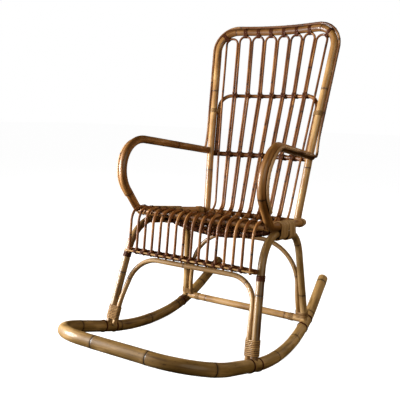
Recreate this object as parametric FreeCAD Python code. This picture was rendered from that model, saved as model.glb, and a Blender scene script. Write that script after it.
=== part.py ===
"""Bamboo rocking chair: bent poles on a U-shaped runner, with a seat and back of long hairpin rods.

Millimetres, +Z up. The sitter faces -Y, and left is the sitter's left, on +X. The origin lies on
the floor, midway between the two points where the runner touches it with the chair at rest.
"""
import FreeCAD
import Part
import math
import os

Vector = FreeCAD.Vector

# Pole and rod diameters
RUNNER_DIAMETER = 36.0
LEG_DIAMETER = 24.0
ARCH_DIAMETER = 16.0
STRETCHER_DIAMETER = 25.0
ARM_DIAMETER = 26.0
BACK_DIAMETER = 26.0
FRONT_RAIL_DIAMETER = 24.0
REAR_RAIL_DIAMETER = 20.0
CROSS_ROD_DIAMETER = 14.0
UPPER_BAR_DIAMETER = 14.0
LOWER_BAR_DIAMETER = 18.0
APRON_RAIL_DIAMETER = 16.0
COVER_STRIP_DIAMETER = 6.0
SPINDLE_DIAMETER = 8.0
WELT_DIAMETER = 9.5

# Peel of the windings, and the room between pieces that touch
FOOT_PEEL = 4.4
STRAP_PEEL = 3.0
SEAT_PEEL = 5.6
WRAP_PEEL = 2.2
LASHING_PEEL = 3.0
PEEL_GAP = 0.6
SEAT_CLEARANCE = 0.3
PEEL_CLEARANCE = 0.25

# Runner: two rockers joined by a front bar
RUNNER_FRONT = 585.5
RUNNER_REAR = 400.0
RUNNER_BAR_HALF_WIDTH = 257.0
RUNNER_FRONT_HALF_WIDTH = 260.0
RUNNER_REAR_HALF_WIDTH = 247.0
RUNNER_TIP_HALF_WIDTH = 229.0
RUNNER_CORNER_RADIUS = 150.0
FRONT_ROCK_RADIUS = 940.0
REAR_ROCK_RADIUS = 610.0
FRONT_RISE = math.radians(17.8)
REAR_RISE = math.radians(26.5)
SOLE_FLAT = 8.0
RUNNER_TIP_ROUNDING = 6.0

# Legs: one arch to each side, its top under the seat's side rail
FRONT_FOOT = 298.5
REAR_FOOT = 157.0
LEG_FRONT_TOP_X = 229.0
LEG_FRONT_TOP_Y = -191.5
LEG_REAR_TOP_X = 218.0
LEG_REAR_TOP_Y = 116.0
LEG_FRONT_BEND = 121.0
LEG_REAR_BEND = 97.0
LEG_REST_Y = -92.5
LEG_TOP_FALL = 0.166

# Braces: an arch between the front legs, one between the rear legs, and a stretcher
FRONT_ARCH_HALF_WIDTH = 212.0
FRONT_ARCH_Y = -203.5
FRONT_ARCH_HEIGHT = 282.0
FRONT_ARCH_BEND = 88.0
REAR_ARCH_HALF_WIDTH = 206.0
REAR_ARCH_Y = 162.0
REAR_ARCH_HEIGHT = 316.0
REAR_ARCH_BEND = 155.0
ARCH_FOOT_RUN = 95.0
ARCH_FOOT_BEND = 260.0
ARCH_FOOT_LIFT = 8.0
STRETCHER_LIFT = 12.5
STRETCHER_SETBACK = 4.0

# Arm pole: arm rest, front loop and seat side rail in one
ARM_REAR_X = 210.0
ARM_REAR_HEIGHT = 617.0
ARM_TOP_X = 246.0
ARM_TOP_Y = -198.0
ARM_TOP_HEIGHT = 675.0
ARM_FORE_X = 240.6
ARM_FORE_Y = -277.0
ARM_FORE_HEIGHT = 565.0
RAIL_FRONT_X = 237.0
RAIL_FRONT_Y = -173.0
RAIL_FRONT_HEIGHT = 432.0
RAIL_REAR_X = 199.8
RAIL_REAR_Y = 219.0
RAIL_REAR_HEIGHT = 384.0
ARM_TOP_BEND = 102.0
ARM_FORE_BEND = 97.0
RAIL_FRONT_BEND = 60.0
RAIL_END_ROUNDING = 8.0

# Back frame: one inverted U
BACK_FOOT_X = 184.0
BACK_BEND_X = 201.5
BACK_BEND_Y = 244.5
BACK_BEND_HEIGHT = 620.0
BACK_TOP_X = 241.5
BACK_TOP_Y = 367.0
BACK_TOP_HEIGHT = 1085.5
BACK_BEND_RADIUS = 700.0
BACK_TOP_BEND = 76.0
TOP_RAIL_BOW = 36.0
TOP_RAIL_BOW_BEND = 900.0
UPPER_BAR_HEIGHT = 833.0
UPPER_BAR_BEND = 50.0
UPPER_BAR_BOW = 70.0
UPPER_BAR_BOW_BEND = 350.0
UPPER_WRAP_HEIGHT = 770.0
LOWER_BAR_HEIGHT = 608.0
LOWER_BAR_BOW = 38.0
LOWER_BAR_BOW_BEND = 500.0

# Seat rods: hairpins that run from the apron over the seat and up the back
HAIRPINS = 8
BACK_HALF_SPAN = 208.0
SEAT_REAR_HALF_SPAN = 149.0
NEIGHBOUR_GAP = 0.6
APRON_PITCH = 28.7
REAR_RAIL_Y = 197.0
SEAT_REAR_BEND = 55.0
SEAT_DIP_BEND = 150.0
SEAT_FRONT_BEND = 60.0
APRON_BEND = 45.0
SPINDLE_LOWER_BEND = 700.0
SPINDLE_UPPER_BEND = 80.0
FRONT_CROSS_ROD_Y = -59.5
FRONT_CROSS_ROD_HEIGHT = 364.0
FRONT_CROSS_ROD_BOW = 610.0
REAR_CROSS_ROD_Y = 71.5
REAR_CROSS_ROD_HEIGHT = 357.0
REAR_CROSS_ROD_BOW = 700.0

# Apron: the rods' lower ends between a rail and a thin strip
APRON_RAIL_Y = -237.0
APRON_RAIL_HEIGHT = 313.0
APRON_CREST_Y = -235.0
APRON_CREST_HEIGHT = 453.0
APRON_OVERHANG = 15.0
COVER_STRIP_SHORT = 14.0

# Windings
FRONT_FOOT_TURNS = 9
REAR_FOOT_TURNS = 4
FOOT_WINDING_LIFT = 7.0
STRAP_TURNS = 2
STRAP_REACH = 27.0
SEAT_BINDING_TURNS = 6
FRONT_BINDING_Y = -27.5
REAR_BINDING_Y = 33.5
TOP_WRAP_TURNS = 4
CORNER_CROWN_SLACK = 2.0
END_WRAP_TURNS = 6
STRETCHER_WRAP_INSET = 52.0
LASHING_TURNS = 2
LASHING_CORNER = 2.0
WELT_START = 0.62
WELT_POST_BEND = 40.0
WELT_POST_REACH = 80.0

RUNNER_RADIUS = RUNNER_DIAMETER / 2
LEG_RADIUS = LEG_DIAMETER / 2
ARCH_RADIUS = ARCH_DIAMETER / 2
STRETCHER_RADIUS = STRETCHER_DIAMETER / 2
ARM_RADIUS = ARM_DIAMETER / 2
BACK_RADIUS = BACK_DIAMETER / 2
SPINDLE_RADIUS = SPINDLE_DIAMETER / 2
WELT_RADIUS = WELT_DIAMETER / 2
UPPER_BAR_RADIUS = UPPER_BAR_DIAMETER / 2
LOWER_BAR_RADIUS = LOWER_BAR_DIAMETER / 2
APRON_RAIL_RADIUS = APRON_RAIL_DIAMETER / 2
CROSS_ROD_RADIUS = CROSS_ROD_DIAMETER / 2
REAR_RAIL_RADIUS = REAR_RAIL_DIAMETER / 2
FRONT_RAIL_RADIUS = FRONT_RAIL_DIAMETER / 2
COVER_STRIP_RADIUS = COVER_STRIP_DIAMETER / 2
SIDES = (("left", 1), ("right", -1))
ACROSS = Vector(1, 0, 0)
REARWARD = Vector(0, 1, 0)
UP = Vector(0, 0, 1)
BEND_SHARE = 0.99
SAME_PLACE = 0.001


def unit(vector):
    return vector / vector.Length


def flip(point, side):
    """The point itself on the left, its mirror image on the right."""
    return Vector(point.x * side, point.y, point.z)


def between(start, end, share):
    return start + (end - start) * share


def at_height(start, end, height):
    return between(start, end, (height - start.z) / (end.z - start.z))


def at_depth(start, end, y):
    return between(start, end, (y - start.y) / (end.y - start.y))


def bent_edges(points, bends):
    """Straight runs through the points, with inner corners rounded as far as their runs leave room."""
    runs = [(end - start).Length for start, end in zip(points, points[1:])]
    half_turns = []
    for before, corner, after in zip(points, points[1:], points[2:]):
        half_turns.append((math.pi - (before - corner).getAngle(after - corner)) / 2)
    wanted = [bend * math.tan(turn) for bend, turn in zip(bends, half_turns)]
    needs = [back + ahead for back, ahead in zip([0.0] + wanted, wanted + [0.0])]
    shares = [min(1.0, BEND_SHARE * run / need) if need else 1.0 for run, need in zip(runs, needs)]
    edges = []
    here = points[0]
    for index, turn in enumerate(half_turns, start=1):
        corner = points[index]
        back = unit(points[index - 1] - corner)
        ahead = unit(points[index + 1] - corner)
        reach = wanted[index - 1] * min(shares[index - 1], shares[index])
        radius = reach / math.tan(turn)
        start = corner + back * reach
        end = corner + ahead * reach
        middle = corner + unit(back + ahead) * (radius / math.cos(turn) - radius)
        edges.append(Part.LineSegment(here, start).toShape())
        edges.append(Part.Arc(start, middle, end).toShape())
        here = end
    edges.append(Part.LineSegment(here, points[-1]).toShape())
    return edges


def place_on(edges, axis, value):
    """Point and heading where a path first comes to a value along the axis."""
    for edge in edges:
        low = edge.FirstParameter
        high = edge.LastParameter
        before = edge.valueAt(low).dot(axis) - value
        if before * (edge.valueAt(high).dot(axis) - value) <= 0:
            for halving in range(40):
                middle = (low + high) / 2
                if (edge.valueAt(middle).dot(axis) - value) * before > 0:
                    low = middle
                else:
                    high = middle
            return edge.valueAt(high), edge.tangentAt(high)
    raise ValueError("the path does not reach this value")


def tube(edges, radius):
    """Round solid swept along the edges."""
    first = edges[0]
    start = first.valueAt(first.FirstParameter)
    heading = first.tangentAt(first.FirstParameter)
    section = Part.Wire(Part.makeCircle(radius, start, heading))
    return Part.Wire(edges).makePipeShell([section], True, False)


def pole(points, bends, radius):
    return tube(bent_edges(points, bends), radius)


def cope(piece, *mates):
    """The piece with its ends scribed to the mates that it meets."""
    for mate in mates:
        piece = piece.cut(mate)
    return max(piece.Solids, key=lambda solid: solid.Volume)


def round_ends(piece, tips, rounding):
    rims = []
    for edge in piece.Edges:
        if isinstance(edge.Curve, Part.Circle):
            if min((edge.Curve.Center - tip).Length for tip in tips) < 0.01:
                rims.append(edge)
    return piece.makeFillet(rounding, rims)


def export(shape, name):
    shape.exportStep("parts/" + name + ".step")


# Runner
FRONT_TANGENT = SOLE_FLAT / 2 + FRONT_ROCK_RADIUS * math.tan(FRONT_RISE / 2)
REAR_TANGENT = SOLE_FLAT / 2 + REAR_ROCK_RADIUS * math.tan(REAR_RISE / 2)


def rocker_points(side):
    """Corners of one rocker, from its free rear tip to the front bar."""
    tip_height = RUNNER_RADIUS + (RUNNER_REAR - REAR_TANGENT) * math.tan(REAR_RISE)
    bar_height = RUNNER_RADIUS + (RUNNER_FRONT - FRONT_TANGENT) * math.tan(FRONT_RISE)
    return [
        Vector(side * RUNNER_TIP_HALF_WIDTH, RUNNER_REAR, tip_height),
        Vector(side * RUNNER_REAR_HALF_WIDTH, REAR_TANGENT, RUNNER_RADIUS),
        Vector(side * RUNNER_FRONT_HALF_WIDTH, -FRONT_TANGENT, RUNNER_RADIUS),
        Vector(side * RUNNER_BAR_HALF_WIDTH, -RUNNER_FRONT, bar_height),
    ]


def runner_edges():
    half = [REAR_ROCK_RADIUS, FRONT_ROCK_RADIUS, RUNNER_CORNER_RADIUS]
    return bent_edges(rocker_points(1) + rocker_points(-1)[::-1], half + half[::-1])


RUNNER_EDGES = runner_edges()


def runner_pole(extra=0.0):
    return tube(RUNNER_EDGES, RUNNER_RADIUS + extra)


def runner_place(y, side):
    """Point on a rocker's axis, and its direction there."""
    spot, heading = place_on(RUNNER_EDGES, REARWARD, y)
    return flip(spot, side), flip(heading, side)


# Corners of the arm pole
ARM_TOP = Vector(ARM_TOP_X, ARM_TOP_Y, ARM_TOP_HEIGHT)
ARM_FORE = Vector(ARM_FORE_X, ARM_FORE_Y, ARM_FORE_HEIGHT)
RAIL_FRONT = Vector(RAIL_FRONT_X, RAIL_FRONT_Y, RAIL_FRONT_HEIGHT)
RAIL_REAR = Vector(RAIL_REAR_X, RAIL_REAR_Y, RAIL_REAR_HEIGHT)

# Back frame and the fan of spindles in its plane
BACK_BEND = Vector(BACK_BEND_X, BACK_BEND_Y, BACK_BEND_HEIGHT)
BACK_TOP = Vector(BACK_TOP_X, BACK_TOP_Y, BACK_TOP_HEIGHT)
REAR_RAIL = at_depth(RAIL_FRONT, RAIL_REAR, REAR_RAIL_Y)
BACK_FOOT = Vector(BACK_FOOT_X, REAR_RAIL_Y, REAR_RAIL.z)
BACK_RISE = unit(Vector(0, BACK_TOP.y - BACK_BEND.y, BACK_TOP.z - BACK_BEND.z))
BACK_REARWARD = Vector(0, BACK_RISE.z, -BACK_RISE.y)
TOP_MIDDLE = Vector(0, BACK_TOP.y, BACK_TOP.z) + BACK_REARWARD * TOP_RAIL_BOW
LOWER_RISE = unit(Vector(0, BACK_BEND.y - BACK_FOOT.y, BACK_BEND.z - BACK_FOOT.z))
LOWER_REARWARD = Vector(0, LOWER_RISE.z, -LOWER_RISE.y)


def back_edges():
    half = [BACK_FOOT, BACK_BEND, BACK_TOP]
    points = half + [TOP_MIDDLE] + [flip(point, -1) for point in half[::-1]]
    half_bends = [BACK_BEND_RADIUS, BACK_TOP_BEND]
    return bent_edges(points, half_bends + [TOP_RAIL_BOW_BEND] + half_bends[::-1])


BACK_EDGES = back_edges()
TOP_EDGES = BACK_EDGES[3:-3]


def back_pole(extra=0.0):
    return tube(BACK_EDGES, BACK_RADIUS + extra)


def post_stub(side):
    """Room that the post needs where the arm meets it."""
    start = flip(at_height(BACK_FOOT, BACK_BEND, BACK_BEND.z - 4 * BACK_DIAMETER), side)
    middle = flip(BACK_BEND, side)
    end = flip(at_height(BACK_BEND, BACK_TOP, BACK_BEND.z + 4 * BACK_DIAMETER), side)
    return pole([start, middle, end], [BACK_BEND_RADIUS], BACK_RADIUS + SEAT_CLEARANCE)


# Arms and the seat's side rails
ARM_REAR = Vector(ARM_REAR_X, at_height(BACK_FOOT, BACK_BEND, ARM_REAR_HEIGHT).y, ARM_REAR_HEIGHT)
ARM_BENDS = [ARM_TOP_BEND, ARM_FORE_BEND, RAIL_FRONT_BEND]
RAIL_HEADING = unit(RAIL_REAR - RAIL_FRONT)


def arm_pole(side, extra=0.0):
    points = [flip(p, side) for p in (ARM_REAR, ARM_TOP, ARM_FORE, RAIL_FRONT, RAIL_REAR)]
    return pole(points, ARM_BENDS, ARM_RADIUS + extra)


def rail_stub(side):
    """Room that the straight side rail needs beside what is scribed to it."""
    points = [flip(RAIL_FRONT, side), flip(RAIL_REAR + RAIL_HEADING * ARM_DIAMETER, side)]
    return pole(points, [], ARM_RADIUS + SEAT_CLEARANCE)


# Legs: the side rail rests on the arch's top run, which falls away from it to the rear
def leg_top(x, y):
    rest = at_depth(RAIL_FRONT, RAIL_REAR, LEG_REST_Y)
    drop = (ARM_RADIUS + LEG_RADIUS + SEAT_CLEARANCE) / RAIL_HEADING.y
    return Vector(x, y, rest.z - drop - LEG_TOP_FALL * (y - LEG_REST_Y))


def leg_points(side):
    return [
        runner_place(-FRONT_FOOT, side)[0],
        flip(leg_top(LEG_FRONT_TOP_X, LEG_FRONT_TOP_Y), side),
        flip(leg_top(LEG_REAR_TOP_X, LEG_REAR_TOP_Y), side),
        runner_place(REAR_FOOT, side)[0],
    ]


def leg_edges(side):
    return bent_edges(leg_points(side), [LEG_FRONT_BEND, LEG_REAR_BEND])


def leg_pole(side, extra=0.0):
    return tube(leg_edges(side), LEG_RADIUS + extra)


def foot_frame(side, front):
    """A foot on the runner's axis, the leg's direction there, and the direction of the brace beside it."""
    corners = leg_points(side) if front else leg_points(side)[::-1]
    rise = unit(corners[1] - corners[0])
    inward = Vector(-side, 0, 0)
    return corners[0], rise, unit(inward - rise * inward.dot(rise))


FOOT_SPACING = LEG_RADIUS + ARCH_RADIUS + SEAT_CLEARANCE


def arch_pole(front, lift, half_width, y, height, bend):
    """Brace whose feet stand along the inner flanks of two legs."""
    half = []
    for side in (1, -1):
        foot, rise, inward = foot_frame(side, front)
        beside = foot + inward * FOOT_SPACING
        half.append([beside + rise * lift, beside + rise * ARCH_FOOT_RUN, Vector(side * half_width, y, height)])
    points = half[0] + half[1][::-1]
    return pole(points, [ARCH_FOOT_BEND, bend, bend, ARCH_FOOT_BEND], ARCH_RADIUS)


def stretcher_pole(extra=0.0):
    ends = [runner_place(REAR_FOOT, side)[0] for side in (1, -1)]
    shift = Vector(0, STRETCHER_SETBACK, STRETCHER_LIFT)
    return pole([end + shift for end in ends], [], STRETCHER_RADIUS + extra)


# Back bars, bowed to the rear between the posts
UPPER_SETBACK = UPPER_BAR_RADIUS + SPINDLE_RADIUS + SEAT_CLEARANCE
LOWER_SETBACK = LOWER_BAR_RADIUS + SPINDLE_RADIUS + SEAT_CLEARANCE
UPPER_INSET = math.sqrt((BACK_RADIUS + UPPER_BAR_RADIUS + SEAT_CLEARANCE) ** 2 - UPPER_SETBACK ** 2)
POST_RISE = unit(BACK_TOP - BACK_BEND)
POST_INWARD = unit(POST_RISE * POST_RISE.x - ACROSS)


def upper_bar_leg(height):
    """Axis of the upper bar's turned-down end, behind and inside the post."""
    return at_height(BACK_BEND, BACK_TOP, height) + BACK_REARWARD * UPPER_SETBACK + POST_INWARD * UPPER_INSET


def upper_bar_edges():
    half = [upper_bar_leg(LOWER_BAR_HEIGHT), upper_bar_leg(UPPER_BAR_HEIGHT)]
    middle = Vector(0, half[1].y + UPPER_BAR_BOW, half[1].z)
    points = half + [middle] + [flip(point, -1) for point in half[::-1]]
    return bent_edges(points, [UPPER_BAR_BEND, UPPER_BAR_BOW_BEND, UPPER_BAR_BEND])


def lower_bar_edges():
    end = at_height(BACK_FOOT, BACK_BEND, LOWER_BAR_HEIGHT) + LOWER_REARWARD * LOWER_SETBACK
    middle = Vector(0, end.y + LOWER_BAR_BOW, end.z)
    return bent_edges([end, middle, flip(end, -1)], [LOWER_BAR_BOW_BEND])


UPPER_EDGES = upper_bar_edges()
LOWER_EDGES = lower_bar_edges()


def rod_on_bar(edges, radius, rearward, x):
    """Axis of a rod where it lies against the front of a back bar."""
    spot, heading = place_on(edges, ACROSS, x)
    slope = heading.dot(rearward) / heading.x
    gap = (radius + SPINDLE_RADIUS + SEAT_CLEARANCE) * math.sqrt(1 + slope ** 2)
    return spot - rearward * gap


# Seat rods
CROSS_ROD_PLACES = (
    (FRONT_CROSS_ROD_Y, FRONT_CROSS_ROD_HEIGHT, FRONT_CROSS_ROD_BOW),
    (REAR_CROSS_ROD_Y, REAR_CROSS_ROD_HEIGHT, REAR_CROSS_ROD_BOW),
)


def fan_x(index, half_span):
    """Place of one of the paired rods across the back."""
    pair_step = SPINDLE_DIAMETER + NEIGHBOUR_GAP
    width = (2 * half_span - (HAIRPINS - 1) * pair_step) / HAIRPINS
    return -half_span + (index // 2) * (width + pair_step) + (index % 2) * width


def apron_x(index):
    return (index - HAIRPINS + 0.5) * APRON_PITCH


def cross_rod_height(place, x):
    y, height, radius = place
    return height + radius - math.sqrt(radius ** 2 - x ** 2)


SPINDLE_APEX = BACK_TOP - BACK_RISE * (BACK_RADIUS + SPINDLE_RADIUS + SEAT_CLEARANCE)
CROWN_RADIUS = (fan_x(1, BACK_HALF_SPAN) - fan_x(0, BACK_HALF_SPAN)) / 2
TOP_CORNER = TOP_EDGES[0].Curve
ROD_TO_APRON = APRON_RAIL_RADIUS + SPINDLE_RADIUS + SEAT_CLEARANCE
APRON_LEAN = (APRON_CREST_Y - APRON_RAIL_Y + ROD_TO_APRON) / (APRON_CREST_HEIGHT - APRON_RAIL_HEIGHT)
APRON_FOOT_HEIGHT = APRON_RAIL_HEIGHT - APRON_OVERHANG


def crown_place(number):
    """Middle of a hairpin's half-round crown: across, and below the top rail along the back."""
    x = (fan_x(2 * number, BACK_HALF_SPAN) + fan_x(2 * number + 1, BACK_HALF_SPAN)) / 2
    drop = BACK_RADIUS + SPINDLE_RADIUS + SEAT_CLEARANCE + CROWN_RADIUS
    beyond = abs(x) - TOP_CORNER.Center.x
    if beyond > 0:
        room = TOP_CORNER.Radius - BACK_RADIUS - SPINDLE_RADIUS - SEAT_CLEARANCE - CROWN_RADIUS
        corner_drop = (BACK_TOP - TOP_CORNER.Center).dot(BACK_RISE)
        drop = max(drop, corner_drop - math.sqrt(room ** 2 - beyond ** 2))
    return x, drop


def crown_spot(x, drop):
    """Point under the top rail, as far to the rear as the rail is there."""
    rail = place_on(TOP_EDGES, ACROSS, x)[0]
    spot = Vector(x, BACK_TOP.y, BACK_TOP.z) - BACK_RISE * drop
    return spot + BACK_REARWARD * (rail - BACK_TOP).dot(BACK_REARWARD)


def half_span_at(height):
    share = (height - REAR_RAIL.z) / (SPINDLE_APEX.z - REAR_RAIL.z)
    return SEAT_REAR_HALF_SPAN + (BACK_HALF_SPAN - SEAT_REAR_HALF_SPAN) * share


def rod_supports(index):
    """What the rod lies on over the seat: axis point, distance, bend and whether it rides over the bend."""
    front_x = apron_x(index)
    rear_x = fan_x(index, SEAT_REAR_HALF_SPAN)
    touch = SPINDLE_RADIUS + SEAT_CLEARANCE
    supports = [(Vector(front_x, RAIL_FRONT.y, RAIL_FRONT.z), FRONT_RAIL_RADIUS + touch, SEAT_FRONT_BEND, True)]
    for place in CROSS_ROD_PLACES:
        share = (place[0] - RAIL_FRONT.y) / (REAR_RAIL.y - RAIL_FRONT.y)
        x = front_x + (rear_x - front_x) * share
        steepness = place[2] / math.sqrt(place[2] ** 2 - x ** 2)
        axis = Vector(x, place[0], cross_rod_height(place, x))
        supports.append((axis, (CROSS_ROD_RADIUS + touch) * steepness, SEAT_DIP_BEND, False))
    rear = Vector(rear_x, REAR_RAIL.y, REAR_RAIL.z)
    supports.append((rear, REAR_RAIL_RADIUS + touch, SEAT_REAR_BEND, False))
    return supports


def rod_points(index):
    """Corners of one rod from the apron to the top of the back, each bend resting on its support."""
    x = apron_x(index)
    foot_y = APRON_RAIL_Y - ROD_TO_APRON - APRON_LEAN * APRON_OVERHANG
    supports = rod_supports(index)
    points = [Vector(x, foot_y, APRON_FOOT_HEIGHT), Vector(x, APRON_CREST_Y, APRON_CREST_HEIGHT)]
    points += [axis + UP * gap for axis, gap, bend, over in supports]
    lower_x = fan_x(index, half_span_at(LOWER_BAR_HEIGHT))
    points.append(rod_on_bar(LOWER_EDGES, LOWER_BAR_RADIUS, LOWER_REARWARD, lower_x))
    upper_x = fan_x(index, half_span_at(UPPER_BAR_HEIGHT))
    points.append(rod_on_bar(UPPER_EDGES[1:-1], UPPER_BAR_RADIUS, BACK_REARWARD, upper_x))
    crown_top = crown_place(index // 2)[1] - CROWN_RADIUS
    top_x = fan_x(index, half_span_at((BACK_TOP - BACK_RISE * crown_top).z))
    points.append(crown_spot(top_x, crown_top))
    for sweep in range(12):
        for place, (axis, gap, bend, over) in enumerate(supports, start=2):
            back = unit(points[place - 1] - points[place])
            ahead = unit(points[place + 1] - points[place])
            half_turn = (math.pi - back.getAngle(ahead)) / 2
            inward = unit(back + ahead)
            lean = Vector(0, inward.y, inward.z)
            away = unit(lean) * (-gap if over else gap)
            points[place] = axis + away - lean * (bend / math.cos(half_turn) - bend)
    return points


ROD_BENDS = [APRON_BEND, SEAT_FRONT_BEND, SEAT_DIP_BEND, SEAT_DIP_BEND, SEAT_REAR_BEND, SPINDLE_LOWER_BEND,
             SPINDLE_UPPER_BEND]


def hairpin(number):
    """One long rod, bent in half under the top rail."""
    rise = rod_points(2 * number)
    fall = rod_points(2 * number + 1)[::-1]
    crown = (fall[0] - rise[-1]).Length / 2
    return pole(rise + fall, ROD_BENDS + [crown, crown] + ROD_BENDS[::-1], SPINDLE_RADIUS)


# Windings: one strand that goes round everything it binds, at a steady climb
def outline(circles):
    """Taut outline round the circles, as knots of place, heading and length, split at quarter turns."""
    def support(angle):
        reach = [a * math.cos(angle) + b * math.sin(angle) + r for a, b, r in circles]
        return reach.index(max(reach))

    steps = 360
    first = 0.1
    changes = []
    for step in range(steps):
        low = first + 2 * math.pi * step / steps
        high = first + 2 * math.pi * (step + 1) / steps
        owner = support(low)
        if support(high) != owner:
            for halving in range(40):
                middle = (low + high) / 2
                low, high = (middle, high) if support(middle) == owner else (low, middle)
            changes.append((high, support(high)))
    if not changes:
        changes = [(0.0, 0)]
    knots = []
    length = 0.0
    for place, (start, owner) in enumerate(changes):
        end = changes[(place + 1) % len(changes)][0]
        sweep = (end - start) % (2 * math.pi) or 2 * math.pi
        parts = math.ceil(sweep / (math.pi / 2) - 1e-6)
        a, b, r = circles[owner]
        for part in range(parts + 1):
            angle = start + sweep * part / parts
            spot = (a + r * math.cos(angle), b + r * math.sin(angle))
            if knots and part == 0:
                length += math.dist(spot, knots[-1][0])
            elif part:
                length += r * sweep / parts
            knots.append((spot, (-math.sin(angle), math.cos(angle)), length, part < parts))
    length += math.dist(knots[0][0], knots[-1][0])
    return knots, length


def distinct(circles):
    """The circles without repeats."""
    kept = []
    for circle in circles:
        if all(math.dist(circle, other) > SAME_PLACE for other in kept):
            kept.append(circle)
    return kept


def arc_edge(start, heading, end):
    """Arc that leaves start along heading and reaches end, or a line where the two agree."""
    chord = end - start
    turn = heading.getAngle(chord)
    if turn < 1e-5:
        return Part.LineSegment(start, end).toShape()
    bulge = unit(heading - unit(chord) * heading.dot(unit(chord)))
    middle = (start + end) / 2 + bulge * (chord.Length / 2 * math.tan(turn / 2))
    return Part.Arc(start, middle, end).toShape()


def biarc(start, start_heading, end, end_heading):
    """Two arcs with a common tangent from one knot to the next."""
    span = end - start
    both = start_heading + end_heading
    spread = 2 * (1 - start_heading.dot(end_heading))
    along = span.dot(both)
    reach = (math.sqrt(along ** 2 + spread * span.dot(span)) - along) / spread
    joint = (start + start_heading * reach + end - end_heading * reach) / 2
    middle_heading = unit(end - end_heading * reach - start - start_heading * reach)
    return [arc_edge(start, start_heading, joint), arc_edge(joint, middle_heading, end)]


def least_gap(edges, peel, turn_length):
    """Least gap of a wound strand to itself, measured on points along it."""
    wire = Part.Wire(edges)
    count = max(int(wire.Length / peel), 8)
    points = wire.discretize(Number=count)
    apart = int(turn_length / 2 / (wire.Length / (count - 1)))
    gaps = [100.0]
    for place, point in enumerate(points):
        for other in points[place + apart:]:
            gaps.append((point - other).Length - peel)
    return min(gaps)


WINDING_GAPS = []


def winding(centre, axis, across, bound, turns, peel):
    """Strand wound round the bound circles, given as places along across and along axis x across."""
    axis = unit(axis)
    across = unit(across - axis * across.dot(axis))
    sideways = axis.cross(across)
    circles = distinct((a, b, r + peel / 2 + PEEL_CLEARANCE) for a, b, r in bound)
    knots, length = outline(circles)
    pitch = peel + PEEL_GAP
    path = []
    for turn in range(turns):
        for (a, b), (heading_a, heading_b), run, curved in knots:
            climb = (turn + run / length - turns / 2) * pitch
            spot = centre + across * a + sideways * b + axis * climb
            heading = unit(across * heading_a + sideways * heading_b + axis * (pitch / length))
            path.append((spot, heading, curved))
    first, first_heading = path[0][:2]
    last, last_heading = path[-1][:2]
    edges = [Part.LineSegment(first - first_heading * peel, first).toShape()]
    for (spot, heading, curved), (end, end_heading, follows) in zip(path, path[1:]):
        if curved:
            edges += biarc(spot, heading, end, end_heading)
        elif (end - spot).Length > 1e-4:
            edges.append(Part.LineSegment(spot, end).toShape())
    edges.append(Part.LineSegment(last, last + last_heading * peel).toShape())
    WINDING_GAPS.append(least_gap(edges, peel, length))
    return tube(edges, peel / 2)


def foot_winding(side, front, turns):
    foot, rise, inward = foot_frame(side, front)
    half_height = turns * (FOOT_PEEL + PEEL_GAP) / 2
    centre = foot + rise * (RUNNER_RADIUS + FOOT_WINDING_LIFT + half_height)
    bound = [(0, 0, LEG_RADIUS), (FOOT_SPACING, 0, ARCH_RADIUS)]
    return winding(centre, rise, inward, bound, turns, FOOT_PEEL)


def runner_straps():
    straps = []
    for side in (1, -1):
        for foot in (-FRONT_FOOT, REAR_FOOT):
            for shift in (-STRAP_REACH, STRAP_REACH):
                centre, heading = runner_place(foot + shift, side)
                straps.append(winding(centre, heading, UP, [(0, 0, RUNNER_RADIUS)], STRAP_TURNS, STRAP_PEEL))
    return Part.makeCompound(straps)


def seat_binding(side):
    """Broad wraps round the side rail and the top of the leg arch."""
    leg_start, leg_end = leg_points(side)[1:3]
    heading = flip(RAIL_HEADING, side)
    across = Vector(side, 0, 0)
    across = unit(across - heading * across.dot(heading))
    sideways = heading.cross(across)
    wraps = []
    for y in (FRONT_BINDING_Y, REAR_BINDING_Y):
        centre = flip(at_depth(RAIL_FRONT, RAIL_REAR, y), side)
        bound = [(0, 0, ARM_RADIUS)]
        half_length = SEAT_BINDING_TURNS * (SEAT_PEEL + PEEL_GAP) / 2 + SEAT_PEEL / 2
        for shift in (-half_length, half_length):
            spot = at_depth(leg_start, leg_end, (centre + heading * shift).y) - centre
            bound.append((spot.dot(across), spot.dot(sideways), LEG_RADIUS))
        wraps.append(winding(centre, heading, across, bound, SEAT_BINDING_TURNS, SEAT_PEEL))
    return Part.makeCompound(wraps)


# Welt: a thin rod on the outside of arms and frame, over the wraps
WELT_TOP_OFFSET = BACK_RADIUS + WRAP_PEEL + 2 * PEEL_CLEARANCE + WELT_RADIUS


def welt_points(side):
    """Half of the welt, along an arm and its post to the corner of the top rail."""
    out = ACROSS * (ARM_RADIUS + WELT_RADIUS + SEAT_CLEARANCE)
    landing = at_height(BACK_BEND, BACK_TOP, BACK_BEND.z + WELT_POST_REACH) - POST_INWARD * WELT_TOP_OFFSET
    along = unit(BACK_TOP - TOP_MIDDLE)
    overshoot = WELT_TOP_OFFSET * POST_RISE.dot(BACK_RISE) / (1 - along.dot(POST_RISE))
    crown = BACK_TOP + BACK_RISE * WELT_TOP_OFFSET + along * overshoot
    start = between(ARM_FORE, RAIL_FRONT, WELT_START) + out
    points = [start, ARM_FORE + out, ARM_TOP + out, ARM_REAR + out, landing, crown]
    return [flip(point, side) for point in points]


def welt_rod():
    points = welt_points(1) + [TOP_MIDDLE + BACK_RISE * WELT_TOP_OFFSET] + welt_points(-1)[::-1]
    corner_bend = BACK_TOP_BEND + WELT_TOP_OFFSET
    half = [ARM_FORE_BEND, ARM_TOP_BEND, WELT_POST_BEND, BACK_BEND_RADIUS, corner_bend]
    return pole(points, half + [TOP_RAIL_BOW_BEND] + half[::-1], WELT_RADIUS)


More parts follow.
